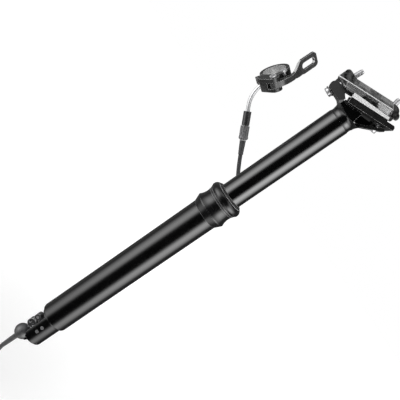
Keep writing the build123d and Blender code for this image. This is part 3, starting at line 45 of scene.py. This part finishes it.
def new_material(name):
    """A new material, its nodes and its main shader."""
    made = bpy.data.materials.new(name)
    made.use_nodes = True
    return made, made.node_tree, made.node_tree.nodes["Principled BSDF"]


def object_noise(tree, scale, stretch=(1, 1, 1), detail=4.0):
    """Noise on the piece's own coordinates; a stretch over 1 draws its grain out along that axis."""
    place = tree.nodes.new("ShaderNodeTexCoord")
    mapping = tree.nodes.new("ShaderNodeMapping")
    mapping.inputs["Scale"].default_value = [1 / s for s in stretch]
    grain = tree.nodes.new("ShaderNodeTexNoise")
    grain.inputs["Scale"].default_value = scale
    grain.inputs["Detail"].default_value = detail
    grain.inputs["Roughness"].default_value = 0.6
    tree.links.new(place.outputs["Object"], mapping.inputs["Vector"])
    tree.links.new(mapping.outputs["Vector"], grain.inputs["Vector"])
    return grain.outputs["Fac"]


def two_tone(tree, source, low, high):
    """A colour that clouds between low and high as the source varies."""
    shades = tree.nodes.new("ShaderNodeValToRGB")
    shades.color_ramp.elements[0].position = 0.35
    shades.color_ramp.elements[1].position = 0.65
    shades.color_ramp.elements[0].color = (*low, 1)
    shades.color_ramp.elements[1].color = (*high, 1)
    tree.links.new(source, shades.inputs["Fac"])
    return shades.outputs["Color"]


def between(tree, source, low, high, start=0.3, end=0.7):
    """Runs from low to high while the source goes from start to end."""
    scaled = tree.nodes.new("ShaderNodeMapRange")
    scaled.inputs["From Min"].default_value = start
    scaled.inputs["From Max"].default_value = end
    scaled.inputs["To Min"].default_value = low
    scaled.inputs["To Max"].default_value = high
    tree.links.new(source, scaled.inputs["Value"])
    return scaled.outputs["Result"]


def blend(tree, share, first, second):
    """The first colour where the share is 0 and the second where it is 1."""
    mixed = tree.nodes.new("ShaderNodeMix")
    mixed.data_type = "RGBA"
    tree.links.new(share, mixed.inputs["Factor"])
    tree.links.new(first, mixed.inputs["A"])
    if isinstance(second, tuple):
        mixed.inputs["B"].default_value = (*second, 1)
    else:
        tree.links.new(second, mixed.inputs["B"])
    return mixed.outputs["Result"]


def worn_and_highlit_edges(tree, shader, colour, bare_and_highlit, width, relief, strength, depth):
    """Breaks sharp edges over width, lightens them there towards the edge colour as worn bare metal and
    as a painted edge highlight, and adds the surface's relief.
    """
    soft = tree.nodes.new("ShaderNodeBevel")
    soft.samples = 6
    soft.inputs["Radius"].default_value = width
    flat = tree.nodes.new("ShaderNodeNewGeometry")
    match = tree.nodes.new("ShaderNodeVectorMath")
    match.operation = "DOT_PRODUCT"
    tree.links.new(soft.outputs["Normal"], match.inputs[0])
    tree.links.new(flat.outputs["Normal"], match.inputs[1])
    worn_and_highlit = between(tree, match.outputs["Value"], 1.0, 0.0, FULLY_WORN_AND_HIGHLIT, SHARP)
    tree.links.new(blend(tree, worn_and_highlit, colour, bare_and_highlit), shader.inputs["Base Color"])
    bump = tree.nodes.new("ShaderNodeBump")
    bump.inputs["Strength"].default_value = strength
    bump.inputs["Distance"].default_value = depth
    tree.links.new(relief, bump.inputs["Height"])
    tree.links.new(soft.outputs["Normal"], bump.inputs["Normal"])
    tree.links.new(bump.outputs["Normal"], shader.inputs["Normal"])


def anodised(name, dark, light, rough, grain, stretch=(1, 1, 1), depth=0.00004, bare_and_highlit=0.16, edge=0.0003,
             gloss=2.0):
    """Black anodised aluminium: a dark film over a blasted, turned or forged surface."""
    mat, tree, shader = new_material(name)
    shader.inputs["IOR"].default_value = gloss
    film = two_tone(tree, object_noise(tree, 60, detail=3), (dark,) * 3, (light, light, light * 1.06))
    fine = object_noise(tree, grain, stretch)
    tree.links.new(between(tree, fine, rough * 0.88, rough * 1.15), shader.inputs["Roughness"])
    worn_and_highlit_edges(tree, shader, film, (bare_and_highlit, bare_and_highlit, bare_and_highlit * 1.02), edge, fine, 0.25, depth)
    return mat


def give(material, *names):
    """Puts the material on the named nodes."""
    for name in names:
        node[name].data.materials.clear()
        node[name].data.materials.append(material)


give(anodised("tube_black", 0.0008, 0.0016, 0.21, 1800, (1, 1, 12), depth=0.00002, gloss=1.78),
     "outer_tube")

# Collar that holds the upper bushing and the wiper, turned from aluminium with a waist for the
# fingers. It is anodised like the tube, and the lathe's fine rings still show on it.
give(anodised("collar_black", 0.0015, 0.003, 0.24, 700, (14, 14, 1), depth=0.00012, bare_and_highlit=0.22,
              edge=0.0006, gloss=1.75), "collar")

# Stanchion with its forged head, the part that slides. The tube is ground, polished and hard
# anodised, so it mirrors the studio in two long soft bands; the front ear keeps its dull forged skin.
EAR_ABOVE, EAR_BEFORE = 0.149, 0.0145
give(anodised("stanchion_black", 0.0006, 0.0012, 0.17, 3000, (10, 10, 1), depth=0.00001, bare_and_highlit=0.08),
     "stanchion")
stanchion = node["stanchion"].data
stanchion.materials.append(anodised("ear_black", 0.0006, 0.002, 0.3, 1500, bare_and_highlit=0.12, gloss=1.4))
for face in stanchion.polygons:
    if face.center.z > EAR_ABOVE and face.center.x > EAR_BEFORE:
        face.material_index = 1

# Wiper seal and the cable's two boots, moulded in black rubber with a matt, faintly pored skin.


def moulded(name, colour, rough, lip_wear_and_highlight=0.05, edge=0.0003):
    """Rubber or plastic straight from the mould, lighter along its lips as rubbing and as a painted edge
    highlight.
    """
    mat, tree, shader = new_material(name)
    cloud = object_noise(tree, 220, detail=5)
    skin = two_tone(tree, cloud, colour, [c * 1.5 for c in colour])
    tree.links.new(between(tree, cloud, rough * 0.9, min(1.0, rough * 1.15)), shader.inputs["Roughness"])
    worn_and_highlit_edges(tree, shader, skin, (lip_wear_and_highlight,) * 3, edge, object_noise(tree, 1900, detail=6), 0.3, 0.00005)
    return mat


rubber = moulded("rubber", (0.034, 0.034, 0.035), 0.5)
give(rubber, "foot_boot", "adjuster_boot")
# The wiper's pale lip on its black rubber is a painted highlight along the edge.
give(moulded("wiper_rubber", (0.006, 0.006, 0.006), 0.5, lip_wear_and_highlight=0.55, edge=0.0006), "wiper_seal")

# Bushings, keys and cartridge inside the tube: grey bearing plastic, brass and turned aluminium.
# The keys slide in the tube's grooves and keep the saddle straight.


def bright_metal(name, low, high, rough, grain=1500, stretch=(1, 1, 1), depth=0.00003, metal=1.0):
    """Bare, plated or polished metal with fine tool marks."""
    mat, tree, shader = new_material(name)
    shader.inputs["Metallic"].default_value = metal
    lines = object_noise(tree, grain, stretch, detail=5)
    colour = two_tone(tree, lines, low, high)
    tree.links.new(between(tree, lines, rough * 0.8, rough * 1.3), shader.inputs["Roughness"])
    worn_and_highlit_edges(tree, shader, colour, tuple(min(1.0, c * 1.1) for c in high), 0.00015, lines, 0.2, depth)
    return mat


give(moulded("bearing_plastic", (0.30, 0.29, 0.27), 0.5, lip_wear_and_highlight=0.4), "upper_bushing", "lower_bushing")
give(bright_metal("brass", (0.62, 0.44, 0.17), (0.75, 0.55, 0.24), 0.32),
     "guide_key_1", "guide_key_2", "guide_key_3", "cable_nipple")
machined = bright_metal("machined", (0.62, 0.63, 0.64), (0.75, 0.76, 0.77), 0.3, stretch=(6, 6, 1),
                        metal=0.8)
give(machined, "cartridge_body", "front_barrel_nut", "rear_barrel_nut")

# Saddle clamp: a cradle that carries the rails and a jaw over each of them. The forgings are anodised
# black
# and lightened in these boxes: each gives its reach to the front, to either side and up from the clamp's
# foot, and how light it is. The cradle's flank is milled bare; the jaws' rear legs, front legs and the
# line along the skirt's lower edge are painted highlights, and the jaws have dull pads.
CLAMP_FOOT = (0.0095, 0, 0.162)
CLAMP_SLOPE = math.radians(21.6)
FLANK = ((-1, 1), (0.0145, 1), (0.0053, 0.02), 1.0)
SKIRT = ((-1, 0.005), (0.0226, 1), (-1, 1), 0.045)
SKIRT_PAD_1 = ((-0.0093, 0.001), (0.0226, 1), (0.0165, 1), 0.15)
SKIRT_PAD_2 = ((-0.034, -0.020), (0.0226, 1), (0.0165, 1), 0.15)
# Painted highlights: a light line along the skirt's lower edge, and the lit inner walls of the rear and
# front legs.
SKIRT_EDGE_HIGHLIGHT = ((-1, 1), (0.0255, 1), (0.0137, 0.0146), 1.0)
REAR_LEG_HIGHLIGHT = ((-0.034, -0.0215), (0.0150, 0.0225), (0.0, 0.0139), 1.0)
FRONT_LEG_HIGHLIGHT = ((-0.009, 0.012), (0.0150, 0.0225), (0.0, 0.0139), 0.22)


def worked(tree, kind, first, second=None):
    """One step of arithmetic on a socket, with a number or another socket."""
    step = tree.nodes.new("ShaderNodeMath")
    step.operation = kind
    tree.links.new(first, step.inputs[0])
    if isinstance(second, (int, float)):
        step.inputs[1].default_value = second
    elif second:
        tree.links.new(second, step.inputs[1])
    return step.outputs["Value"]


def in_frame(tree, origin, turn):
    """The surface's place in a frame of the piece's own, as its three lengths."""
    place = tree.nodes.new("ShaderNodeTexCoord")
    mapping = tree.nodes.new("ShaderNodeMapping")
    mapping.vector_type = "TEXTURE"
    mapping.inputs["Location"].default_value = origin
    mapping.inputs["Rotation"].default_value = turn
    split = tree.nodes.new("ShaderNodeSeparateXYZ")
    tree.links.new(place.outputs["Object"], mapping.inputs["Vector"])
    tree.links.new(mapping.outputs["Vector"], split.inputs["Vector"])
    return split.outputs["X"], split.outputs["Y"], split.outputs["Z"]


def part_bare_and_highlit(name, dark, light, rough, bare_and_highlit_at, metal=(0.72, 0.87), edge=0.5, width=0.0003, cloud=90):
    """Black anodised metal that turns silver as far as its mask says: bare metal in its milled places,
    painted highlight in the others.
    """
    mat, tree, shader = new_material(name)
    shader.inputs["IOR"].default_value = 1.8
    bare_and_highlit = bare_and_highlit_at(tree)
    film = two_tone(tree, object_noise(tree, cloud, detail=3), (dark,) * 3, (light,) * 3)
    silver = two_tone(tree, object_noise(tree, 900, (12, 1, 1)), (metal[0],) * 3, (metal[1],) * 3)
    tree.links.new(between(tree, bare_and_highlit, 0.0, 0.4, 0, 1), shader.inputs["Metallic"])
    fine = object_noise(tree, 2200)
    tree.links.new(between(tree, fine, rough * 0.85, rough * 1.2), shader.inputs["Roughness"])
    worn_and_highlit_edges(tree, shader, blend(tree, bare_and_highlit, film, silver), (edge,) * 3, width, fine, 0.15, 0.00003)
    return mat


def milled_and_highlit(*boxes):
    """How light the metal is at a place, as bare metal and as painted highlight: the highest of the boxes
    that hold it, or 0.
    """
    def bare_and_highlit_at(tree):
        front, side, up = in_frame(tree, CLAMP_FOOT, (0, CLAMP_SLOPE, 0))
        side = worked(tree, "ABSOLUTE", side)
        total = None
        for *reaches, shine in boxes:
            inside = None
            for length, (low, high) in zip((front, side, up), reaches):
                held = worked(tree, "MULTIPLY", worked(tree, "GREATER_THAN", length, low),
                              worked(tree, "LESS_THAN", length, high))
                inside = worked(tree, "MULTIPLY", inside, held) if inside else held
            inside = worked(tree, "MULTIPLY", inside, shine)
            total = worked(tree, "MAXIMUM", total, inside) if total else inside
        return total
    return bare_and_highlit_at


give(part_bare_and_highlit("cradle_black", 0.004, 0.007, 0.34, milled_and_highlit(FLANK)), "lower_cradle")
jaw_bare_and_highlit = milled_and_highlit(SKIRT, SKIRT_PAD_1, SKIRT_PAD_2, SKIRT_EDGE_HIGHLIGHT, REAR_LEG_HIGHLIGHT, FRONT_LEG_HIGHLIGHT)
give(part_bare_and_highlit("jaw_grey", 0.002, 0.06, 0.33, jaw_bare_and_highlit, width=0.0005, cloud=260),
     "upper_jaw_left", "upper_jaw_right")

# Clamp bolts: zinc plated steel with a socket head below and a rolled thread up to the tip. Each is
# turned in its barrel nut, so its thread runs the whole shank and stands out above the jaw.
BOLT_ROOT_R, BOLT_CREST_R, BOLT_PITCH = 0.00212, 0.0025, 0.0008
THREAD_RISE, THREAD_CREST, THREAD_FALL = 0.4, 0.15, 0.45
BOLT_HEAD_R, BOLT_HEAD_TALL, SOCKET_R, SOCKET_DEEP = 0.0043, 0.0026, 0.0023, 0.0016
HEAD_CHAMFER, HEAD_FACE, TIP_FACE = 0.0003, 0.93, 0.85
FRONT_SEAT, FRONT_TIP = (0.026725, 0, 0.15667), (0.024, 0, 0.190)
REAR_SEAT, REAR_TIP = (-0.022017, 0, 0.169), (-0.0142, 0, 0.2012)


def grow(up, scale):
    """Pulls the selected rim up along the bolt and widens or narrows it."""
    bpy.ops.mesh.extrude_region_move(TRANSFORM_OT_translate={"value": (0, 0, up)})
    bpy.ops.transform.resize(value=(scale, scale, 1))


def threaded_bolt(name, seat, tip, plating):
    """One bolt from its socket up over the head and along the thread, then laid from seat to tip."""
    shank = Vector(tip) - Vector(seat)
    bpy.ops.object.select_all(action="DESELECT")
    bpy.ops.mesh.primitive_circle_add(vertices=24, radius=SOCKET_R, fill_type="NGON",
                                      location=(0, 0, SOCKET_DEEP - BOLT_HEAD_TALL))
    bolt = bpy.context.active_object
    bolt.name = name
    bpy.ops.object.transform_apply(location=True, rotation=True, scale=True)
    bpy.ops.object.mode_set(mode="EDIT")
    bpy.ops.mesh.select_all(action="SELECT")
    grow(-SOCKET_DEEP, 1.0)
    grow(0, BOLT_HEAD_R * HEAD_FACE / SOCKET_R)
    grow(HEAD_CHAMFER, 1 / HEAD_FACE)
    grow(BOLT_HEAD_TALL - 2 * HEAD_CHAMFER, 1.0)
    grow(HEAD_CHAMFER, HEAD_FACE)
    grow(0, BOLT_ROOT_R / (BOLT_HEAD_R * HEAD_FACE))
    turns = int(shank.length / BOLT_PITCH) - 1
    for _ in range(turns):
        grow(BOLT_PITCH * THREAD_RISE, BOLT_CREST_R / BOLT_ROOT_R)
        grow(BOLT_PITCH * THREAD_CREST, 1.0)
        grow(BOLT_PITCH * THREAD_FALL, BOLT_ROOT_R / BOLT_CREST_R)
    grow(shank.length - turns * BOLT_PITCH, TIP_FACE)
    bpy.ops.mesh.edge_face_add()
    bpy.ops.mesh.select_all(action="SELECT")
    bpy.ops.mesh.remove_doubles(threshold=0.000001)
    bpy.ops.mesh.normals_make_consistent(inside=False)
    bpy.ops.object.mode_set(mode="OBJECT")
    bolt.rotation_euler = shank.to_track_quat("Z", "Y").to_euler()
    bolt.location = seat
    bpy.ops.object.transform_apply(location=True, rotation=True, scale=True)
    bpy.ops.object.shade_smooth_by_angle(angle=math.radians(28))
    bolt.data.materials.append(plating)
    return bolt


plated = bright_metal("plated_steel", (0.58, 0.58, 0.59), (0.74, 0.74, 0.75), 0.3, grain=1800, metal=0.75)
front_bolt = threaded_bolt("front_bolt_threaded", FRONT_SEAT, FRONT_TIP, plated)
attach(front_bolt, "front_bolt_body")
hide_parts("front_bolt")
rear_bolt = threaded_bolt("rear_bolt_threaded", REAR_SEAT, REAR_TIP, plated)
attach(rear_bolt, "rear_bolt_body")
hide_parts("rear_bolt")
dark_steel = anodised("dark_steel", 0.03, 0.05, 0.36, 1200, bare_and_highlit=0.4)
give(dark_steel, "front_washer")

# Actuator at the foot: a milled housing that is pressed into the tube, with a steel lever on a
# bracket inside it that lifts the cartridge's valve pin when the wire pulls the anchor down.
give(anodised("actuator_black", 0.001, 0.002, 0.2, 2000, depth=0.00003, gloss=1.7), "actuator_housing")
give(anodised("stop_black", 0.022, 0.036, 0.45, 1500, depth=0.00008, bare_and_highlit=0.12), "cable_stop")
give(anodised("lever_steel", 0.02, 0.035, 0.36, 1200, bare_and_highlit=0.75, edge=0.0007), "actuator_lever")
give(dark_steel, "pivot_bracket")
steel = bright_metal("steel", (0.55, 0.55, 0.56), (0.72, 0.72, 0.73), 0.28, grain=1800, metal=0.8)
give(steel, "cartridge_rod", "actuator_pivot_pin", "anchor_pin", "valve_pin")
give(bright_metal("screw_steel", (0.18, 0.18, 0.18), (0.28, 0.28, 0.29), 0.3, metal=0.6),
     "housing_screw_1", "housing_screw_2", "housing_screw_3", "housing_screw_4")

# Inner wire between the stop and the lever's anchor: a twisted strand of stainless, drawn tight. It
# is clamped in the anchor, and the rest of it runs out of sight in the housing.
STRAND_R, STRAND_STEPS, STRAND_STEP, STRAND_TWIST = 0.0006, 12, 0.0009, math.radians(24)
WIRE_X, WIRE_FOOT, STRANDS, GROOVE = 0.0076, -0.2205, 7, 0.78
bpy.ops.object.select_all(action="DESELECT")
bpy.ops.mesh.primitive_circle_add(vertices=2 * STRANDS, radius=STRAND_R, fill_type="NGON",
                                  location=(WIRE_X, 0, WIRE_FOOT))
wire = bpy.context.active_object
wire.name = "inner_wire"
bpy.ops.object.transform_apply(location=True, rotation=True, scale=True)
bpy.ops.object.mode_set(mode="EDIT")
bpy.ops.mesh.select_all(action="SELECT")
for n in range(STRAND_STEPS):
    bpy.ops.mesh.extrude_region_move(TRANSFORM_OT_translate={"value": (0, 0, STRAND_STEP)})
    bpy.ops.transform.rotate(value=STRAND_TWIST, orient_axis="Z",
                             center_override=(WIRE_X, 0, WIRE_FOOT + (n + 1) * STRAND_STEP))
bpy.ops.object.mode_set(mode="OBJECT")
for vertex in wire.data.vertices:
    step = round((vertex.co.z - WIRE_FOOT) / STRAND_STEP)
    centre = Vector((WIRE_X, 0, vertex.co.z))
    strand = (vertex.co - centre).to_2d().angle_signed(Vector((1, 0))) + step * STRAND_TWIST
    dip = GROOVE if round(strand * STRANDS / math.pi) % 2 else 1.0
    vertex.co = centre + (vertex.co - centre) * dip
bpy.ops.object.mode_set(mode="EDIT")
bpy.ops.mesh.select_all(action="SELECT")
bpy.ops.mesh.normals_make_consistent(inside=False)
bpy.ops.object.mode_set(mode="OBJECT")
bpy.ops.object.shade_smooth_by_angle(angle=math.radians(50))
wire.data.materials.append(steel)
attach(wire, "post")

# Barrel adjuster, sleeve and noodle: the adjuster is fluted for the fingers and screws into the
# sleeve, and the noodle is a bent stainless tube that leads the wire into the remote.
give(anodised("adjuster_grey", 0.10, 0.15, 0.4, 1700, depth=0.00006, bare_and_highlit=0.2), "barrel_adjuster")
give(anodised("sleeve_black", 0.014, 0.022, 0.28, 1700, depth=0.00003), "noodle_sleeve")
give(bright_metal("polished_tube", (0.80, 0.80, 0.81), (0.90, 0.90, 0.91), 0.14, grain=900, depth=0.00001,
                  metal=0.65), "noodle")

# Remote on the handlebar: a split ring with the lever's bracket, and the thumb lever, machined from
# aluminium in satin black. Its bore is left bare, its screws are plated steel, and the silver along
# the lever's rims is a painted highlight.
BAR_CENTRE, BAR_AXIS, BORE_R = (0.0707, -0.0400, 0.1281), (0.853507, 0.415296, 0.31473), 0.0113
HIGHLIGHT_FROM, HIGHLIGHT_TO = 0.22, 0.93


def bar_bore(tree):
    """1 on the ring's bore."""
    turn = Vector(BAR_AXIS).to_track_quat("Z", "Y").to_euler()
    along, aside, _ = in_frame(tree, BAR_CENTRE, turn)
    square = worked(tree, "ADD", worked(tree, "MULTIPLY", along, along),
                    worked(tree, "MULTIPLY", aside, aside))
    return worked(tree, "LESS_THAN", square, BORE_R ** 2)


def arm_rim_highlights(tree):
    """1 on the rounded rims along both sides of the arm, which turn partly towards the bar's axis: a
    painted highlight.
    """
    place = tree.nodes.new("ShaderNodeTexCoord")
    match = tree.nodes.new("ShaderNodeVectorMath")
    match.operation = "DOT_PRODUCT"
    tree.links.new(place.outputs["Normal"], match.inputs[0])
    match.inputs[1].default_value = BAR_AXIS
    sideways = worked(tree, "ABSOLUTE", match.outputs["Value"])
    return worked(tree, "MULTIPLY", worked(tree, "GREATER_THAN", sideways, HIGHLIGHT_FROM),
                  worked(tree, "LESS_THAN", sideways, HIGHLIGHT_TO))


give(part_bare_and_highlit("remote_black", 0.006, 0.014, 0.24, bar_bore, metal=(0.36, 0.50), edge=0.45, width=0.0005),
     "remote_body")
# The lever's silver rims are a painted highlight.
give(part_bare_and_highlit("lever_black", 0.018, 0.045, 0.22, arm_rim_highlights, metal=(0.55, 0.70), edge=0.6,
               width=0.0006, cloud=160), "thumb_lever")
give(plated, "clamp_bolt", "lever_pivot_bolt", "body_screw")

# Cable housing: a steel coil in a black plastic cover, 4 mm over the cover. It leaves the adjuster's
# boot, runs down behind the post, is coiled and strapped below it, and comes up to the stop.
COVER_R = 0.002
ROUTE = [
    (0.0271, -0.0315, 0.0572),
    (0.017097, -0.0315, 0.047404),
    (0.0020, -0.0310, 0.0365),
    (0.0006, -0.0284, 0.0120),
    (0.0000, -0.0224, -0.0220),
    (-0.0007, -0.0199, -0.0640),
    (-0.0011, -0.0195, -0.1120),
    (-0.0013, -0.0194, -0.1600),
    (-0.0009, -0.0196, -0.2030),
    (-0.0008, -0.0197, -0.2285),
    (0.0076, -0.0199, -0.2405),
    (0.0074, -0.0204, -0.2640),
    (0.0032, -0.0390, -0.2950),
]
ROUTE_END = [
    (0.0078, 0.0190, -0.2950),
    (0.0072, 0.0, -0.2660),
    (0.0072, 0.0, -0.2512),
]
COIL_X, COIL_Y, COIL_Z, COIL_R, TURN_GAP = 0.0078, -0.010, -0.323, 0.029, 0.0046
HALF_TURNS, POINTS_PER_HALF = 6, 8
INNER_TIGHTER, OUTER_LOOSER = 0.0005, 0.0015


def coil_points():
    """The coil's half turns: inward on one layer, across to the other, and outward again."""
    inner, outer = [], []
    for n in range(HALF_TURNS + 1):
        side = -1 if n % 2 == 0 else 1
        tighter = INNER_TIGHTER if n == HALF_TURNS else 0
        inner.append((side, COIL_R - n * TURN_GAP / 2 - tighter, COIL_X - TURN_GAP))
        looser = OUTER_LOOSER if n == 0 else 0
        outer.append((-side, COIL_R - (HALF_TURNS - n) * TURN_GAP / 2 - looser, COIL_X))
    ends = inner + outer
    points = []
    for n, ((side, r, x), (next_side, next_r, next_x)) in enumerate(zip(ends, ends[1:])):
        start, finish = COIL_Y + side * r, COIL_Y + next_side * next_r
        reach = (finish - start) / 2 / math.cos(math.pi / 2 / POINTS_PER_HALF)
        down = -1 if n % 2 == 0 else 1
        for k in range(POINTS_PER_HALF):
            turn = math.pi * (k + 0.5) / POINTS_PER_HALF
            share = (1 - math.cos(turn)) / 2
            points.append((x + (next_x - x) * share, (start + finish) / 2 - reach * math.cos(turn),
                           COIL_Z + down * abs(reach) * math.sin(turn)))
    return points


line = bpy.data.curves.new("cable_housing", "CURVE")
line.dimensions = "3D"
spline = line.splines.new("NURBS")
route = ROUTE + coil_points() + ROUTE_END
spline.points.add(len(route) - 1)
for point, place in zip(spline.points, route):
    point.co = (*place, 1)
spline.order_u = 3
spline.use_endpoint_u = True
line.resolution_u = 6
line.bevel_depth = COVER_R
line.bevel_resolution = 5
line.use_fill_caps = True
housing = bpy.data.objects.new("cable_housing", line)
bpy.context.scene.collection.objects.link(housing)
line.materials.append(moulded("housing_cover", (0.030, 0.030, 0.031), 0.42))
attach(housing, "post")
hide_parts("housing_lead", "housing_coil", "housing_tail")
give(rubber, "coil_tie")

# Floor: a plain pale sheet that keeps the object's shadow. Far off, where the lamps hardly reach it,
# it looks white to the camera all the same. It ends short of the camera's side.
FLOOR_SIZE, FLOOR_Y, FLOOR_Z = 6, -2.85, -0.372
NEAR, FAR, NEAR_GLOW, FAR_GLOW = 0.4, 0.75, 0.12, 0.72
bpy.ops.object.select_all(action="DESELECT")
bpy.ops.mesh.primitive_plane_add(size=FLOOR_SIZE, location=(0, FLOOR_Y, FLOOR_Z))
floor = bpy.context.active_object
floor.name = "floor"
floor_white, tree, shader = new_material("floor_white")
shader.inputs["Base Color"].default_value = (0.86, 0.86, 0.86, 1)
shader.inputs["Roughness"].default_value = 0.85
away = tree.nodes.new("ShaderNodeVectorMath")
away.operation = "LENGTH"
tree.links.new(tree.nodes.new("ShaderNodeNewGeometry").outputs["Position"], away.inputs[0])
glow = tree.nodes.new("ShaderNodeEmission")
tree.links.new(worked(tree, "MULTIPLY", tree.nodes.new("ShaderNodeLightPath").outputs["Is Camera Ray"],
                      between(tree, away.outputs["Value"], NEAR_GLOW, FAR_GLOW, NEAR, FAR)),
               glow.inputs["Strength"])
lit = tree.nodes.new("ShaderNodeAddShader")
tree.links.new(shader.outputs["BSDF"], lit.inputs[0])
tree.links.new(glow.outputs["Emission"], lit.inputs[1])
tree.links.new(lit.outputs["Shader"], tree.nodes["Material Output"].inputs["Surface"])
floor.data.materials.append(floor_white)
floor.visible_glossy = False

# Backdrop and studio: the camera sees plain white. What shines sees a tall soft panel on each side
# of the post, which draw its two bands of light, and a dim room elsewhere, so that black stays black.
# The spans are in degrees: headings off the camera's side, and heights over the horizon.
ROOM_DIM, FRONT_WALL, REAR_WALL, ROOM_FILL = 0.004, 0.20, 0.08, 0.35
FRONT_PANEL, REAR_PANEL, FRONT_SHIFT = 2.6, 3.6, math.radians(7)
PANEL_STARTS, PANEL_ENDS, WALL_STARTS = (30, 60), (64, 114), (60, 150)
PANEL_FOOT, PANEL_TOP, END_DIM, SIDE_BLEND = (-38, -14), (4, 30), 0.4, 0.1
world = bpy.data.worlds.new("studio")
bpy.context.scene.world = world
world.use_nodes = True
sky = world.node_tree
back = sky.nodes["Background"]
back.inputs["Color"].default_value = (1, 1, 1, 1)
split = sky.nodes.new("ShaderNodeSeparateXYZ")
sky.links.new(sky.nodes.new("ShaderNodeTexCoord").outputs["Generated"], split.inputs["Vector"])
forward, sideways = split.outputs["X"], split.outputs["Y"]
height = worked(sky, "ARCSINE", split.outputs["Z"])


def either_side(rear, front):
    """One value towards the bicycle's rear and another towards its front."""
    return between(sky, forward, rear, front, -SIDE_BLEND, SIDE_BLEND)


heading = worked(sky, "ADD", worked(sky, "ARCTAN2", worked(sky, "ABSOLUTE", forward), sideways),
                 either_side(0, FRONT_SHIFT))


def ease(low, high, span, source=heading):
    """Eases from low to high over a span of the heading or of another angle."""
    made = sky.nodes.new("ShaderNodeMapRange")
    made.interpolation_type = "SMOOTHSTEP"
    made.inputs["From Min"].default_value = math.radians(span[0])
    made.inputs["From Max"].default_value = math.radians(span[1])
    made.inputs["To Min"].default_value = low
    made.inputs["To Max"].default_value = high
    sky.links.new(source, made.inputs["Value"])
    return made.outputs["Result"]


def switch(share, first, second):
    """The first strength, or the second where the share is 1."""
    chosen = sky.nodes.new("ShaderNodeMix")
    chosen.data_type = "FLOAT"
    sky.links.new(share, chosen.inputs["Factor"])
    for strength, socket in ((first, chosen.inputs["A"]), (second, chosen.inputs["B"])):
        if isinstance(strength, float):
            socket.default_value = strength
        else:
            sky.links.new(strength, socket)
    return chosen.outputs["Result"]


across = worked(sky, "MULTIPLY", ease(0, 1, PANEL_STARTS), ease(1, 0, PANEL_ENDS))
upright = worked(sky, "MULTIPLY", ease(END_DIM, 1, PANEL_FOOT, height),
                 ease(1, END_DIM, PANEL_TOP, height))
panel = worked(sky, "MULTIPLY", worked(sky, "MULTIPLY", across, upright),
               either_side(REAR_PANEL, FRONT_PANEL))
wall = worked(sky, "MULTIPLY", ease(0, 1, WALL_STARTS), either_side(REAR_WALL, FRONT_WALL))
shine = worked(sky, "ADD", worked(sky, "ADD", panel, wall), ROOM_DIM)
rays = sky.nodes.new("ShaderNodeLightPath")
clear = worked(sky, "MAXIMUM", rays.outputs["Is Camera Ray"], rays.outputs["Is Transmission Ray"])
lit_room = switch(rays.outputs["Is Glossy Ray"], ROOM_FILL, shine)
sky.links.new(switch(clear, lit_room, 1.0), back.inputs["Strength"])

# Lamps: a broad softbox on each side and a small high one on the camera's side. They light the
# object evenly; what shines sees the studio's panels in their place.


def softbox(name, place, aim, wide, tall, power):
    """A rectangular lamp at its place, turned to its aim."""
    data = bpy.data.lights.new(name, "AREA")
    data.shape = "RECTANGLE"
    data.size, data.size_y, data.energy = wide, tall, power
    lamp = bpy.data.objects.new(name, data)
    bpy.context.scene.collection.objects.link(lamp)
    lamp.location = place
    lamp.visible_glossy = False
    lamp.rotation_euler = (Vector(aim) - Vector(place)).to_track_quat("-Z", "Y").to_euler()


softbox("front_box", (0.95, 0.40, 0.0), (0, 0, 0), 1.15, 1.5, 17)
softbox("rear_box", (-0.95, 0.40, 0.0), (0, 0, 0), 1.15, 1.5, 19)
softbox("high_box", (0.0, 0.75, 0.95), (0, 0, 0.1), 0.5, 0.3, 4)

# Camera, fitted to the photograph's straight edges.
eye = Vector((0.01328, 0.52761, 0.11089))
right = Vector((-0.5717, -0.1619, 0.8043)).normalized()
up = Vector((0.8205, -0.1128, 0.5605)).normalized()
behind = right.cross(up).normalized()
lens = bpy.data.cameras.new("camera")
lens.angle = math.radians(38.44)
lens.clip_start = 0.01
camera = bpy.data.objects.new("camera", lens)
bpy.context.scene.collection.objects.link(camera)
camera.matrix_world = Matrix((
    (right.x, up.x, behind.x, eye.x),
    (right.y, up.y, behind.y, eye.y),
    (right.z, up.z, behind.z, eye.z),
    (0, 0, 0, 1),
))
bpy.context.scene.camera = camera
bpy.context.scene.view_settings.view_transform = "Standard"
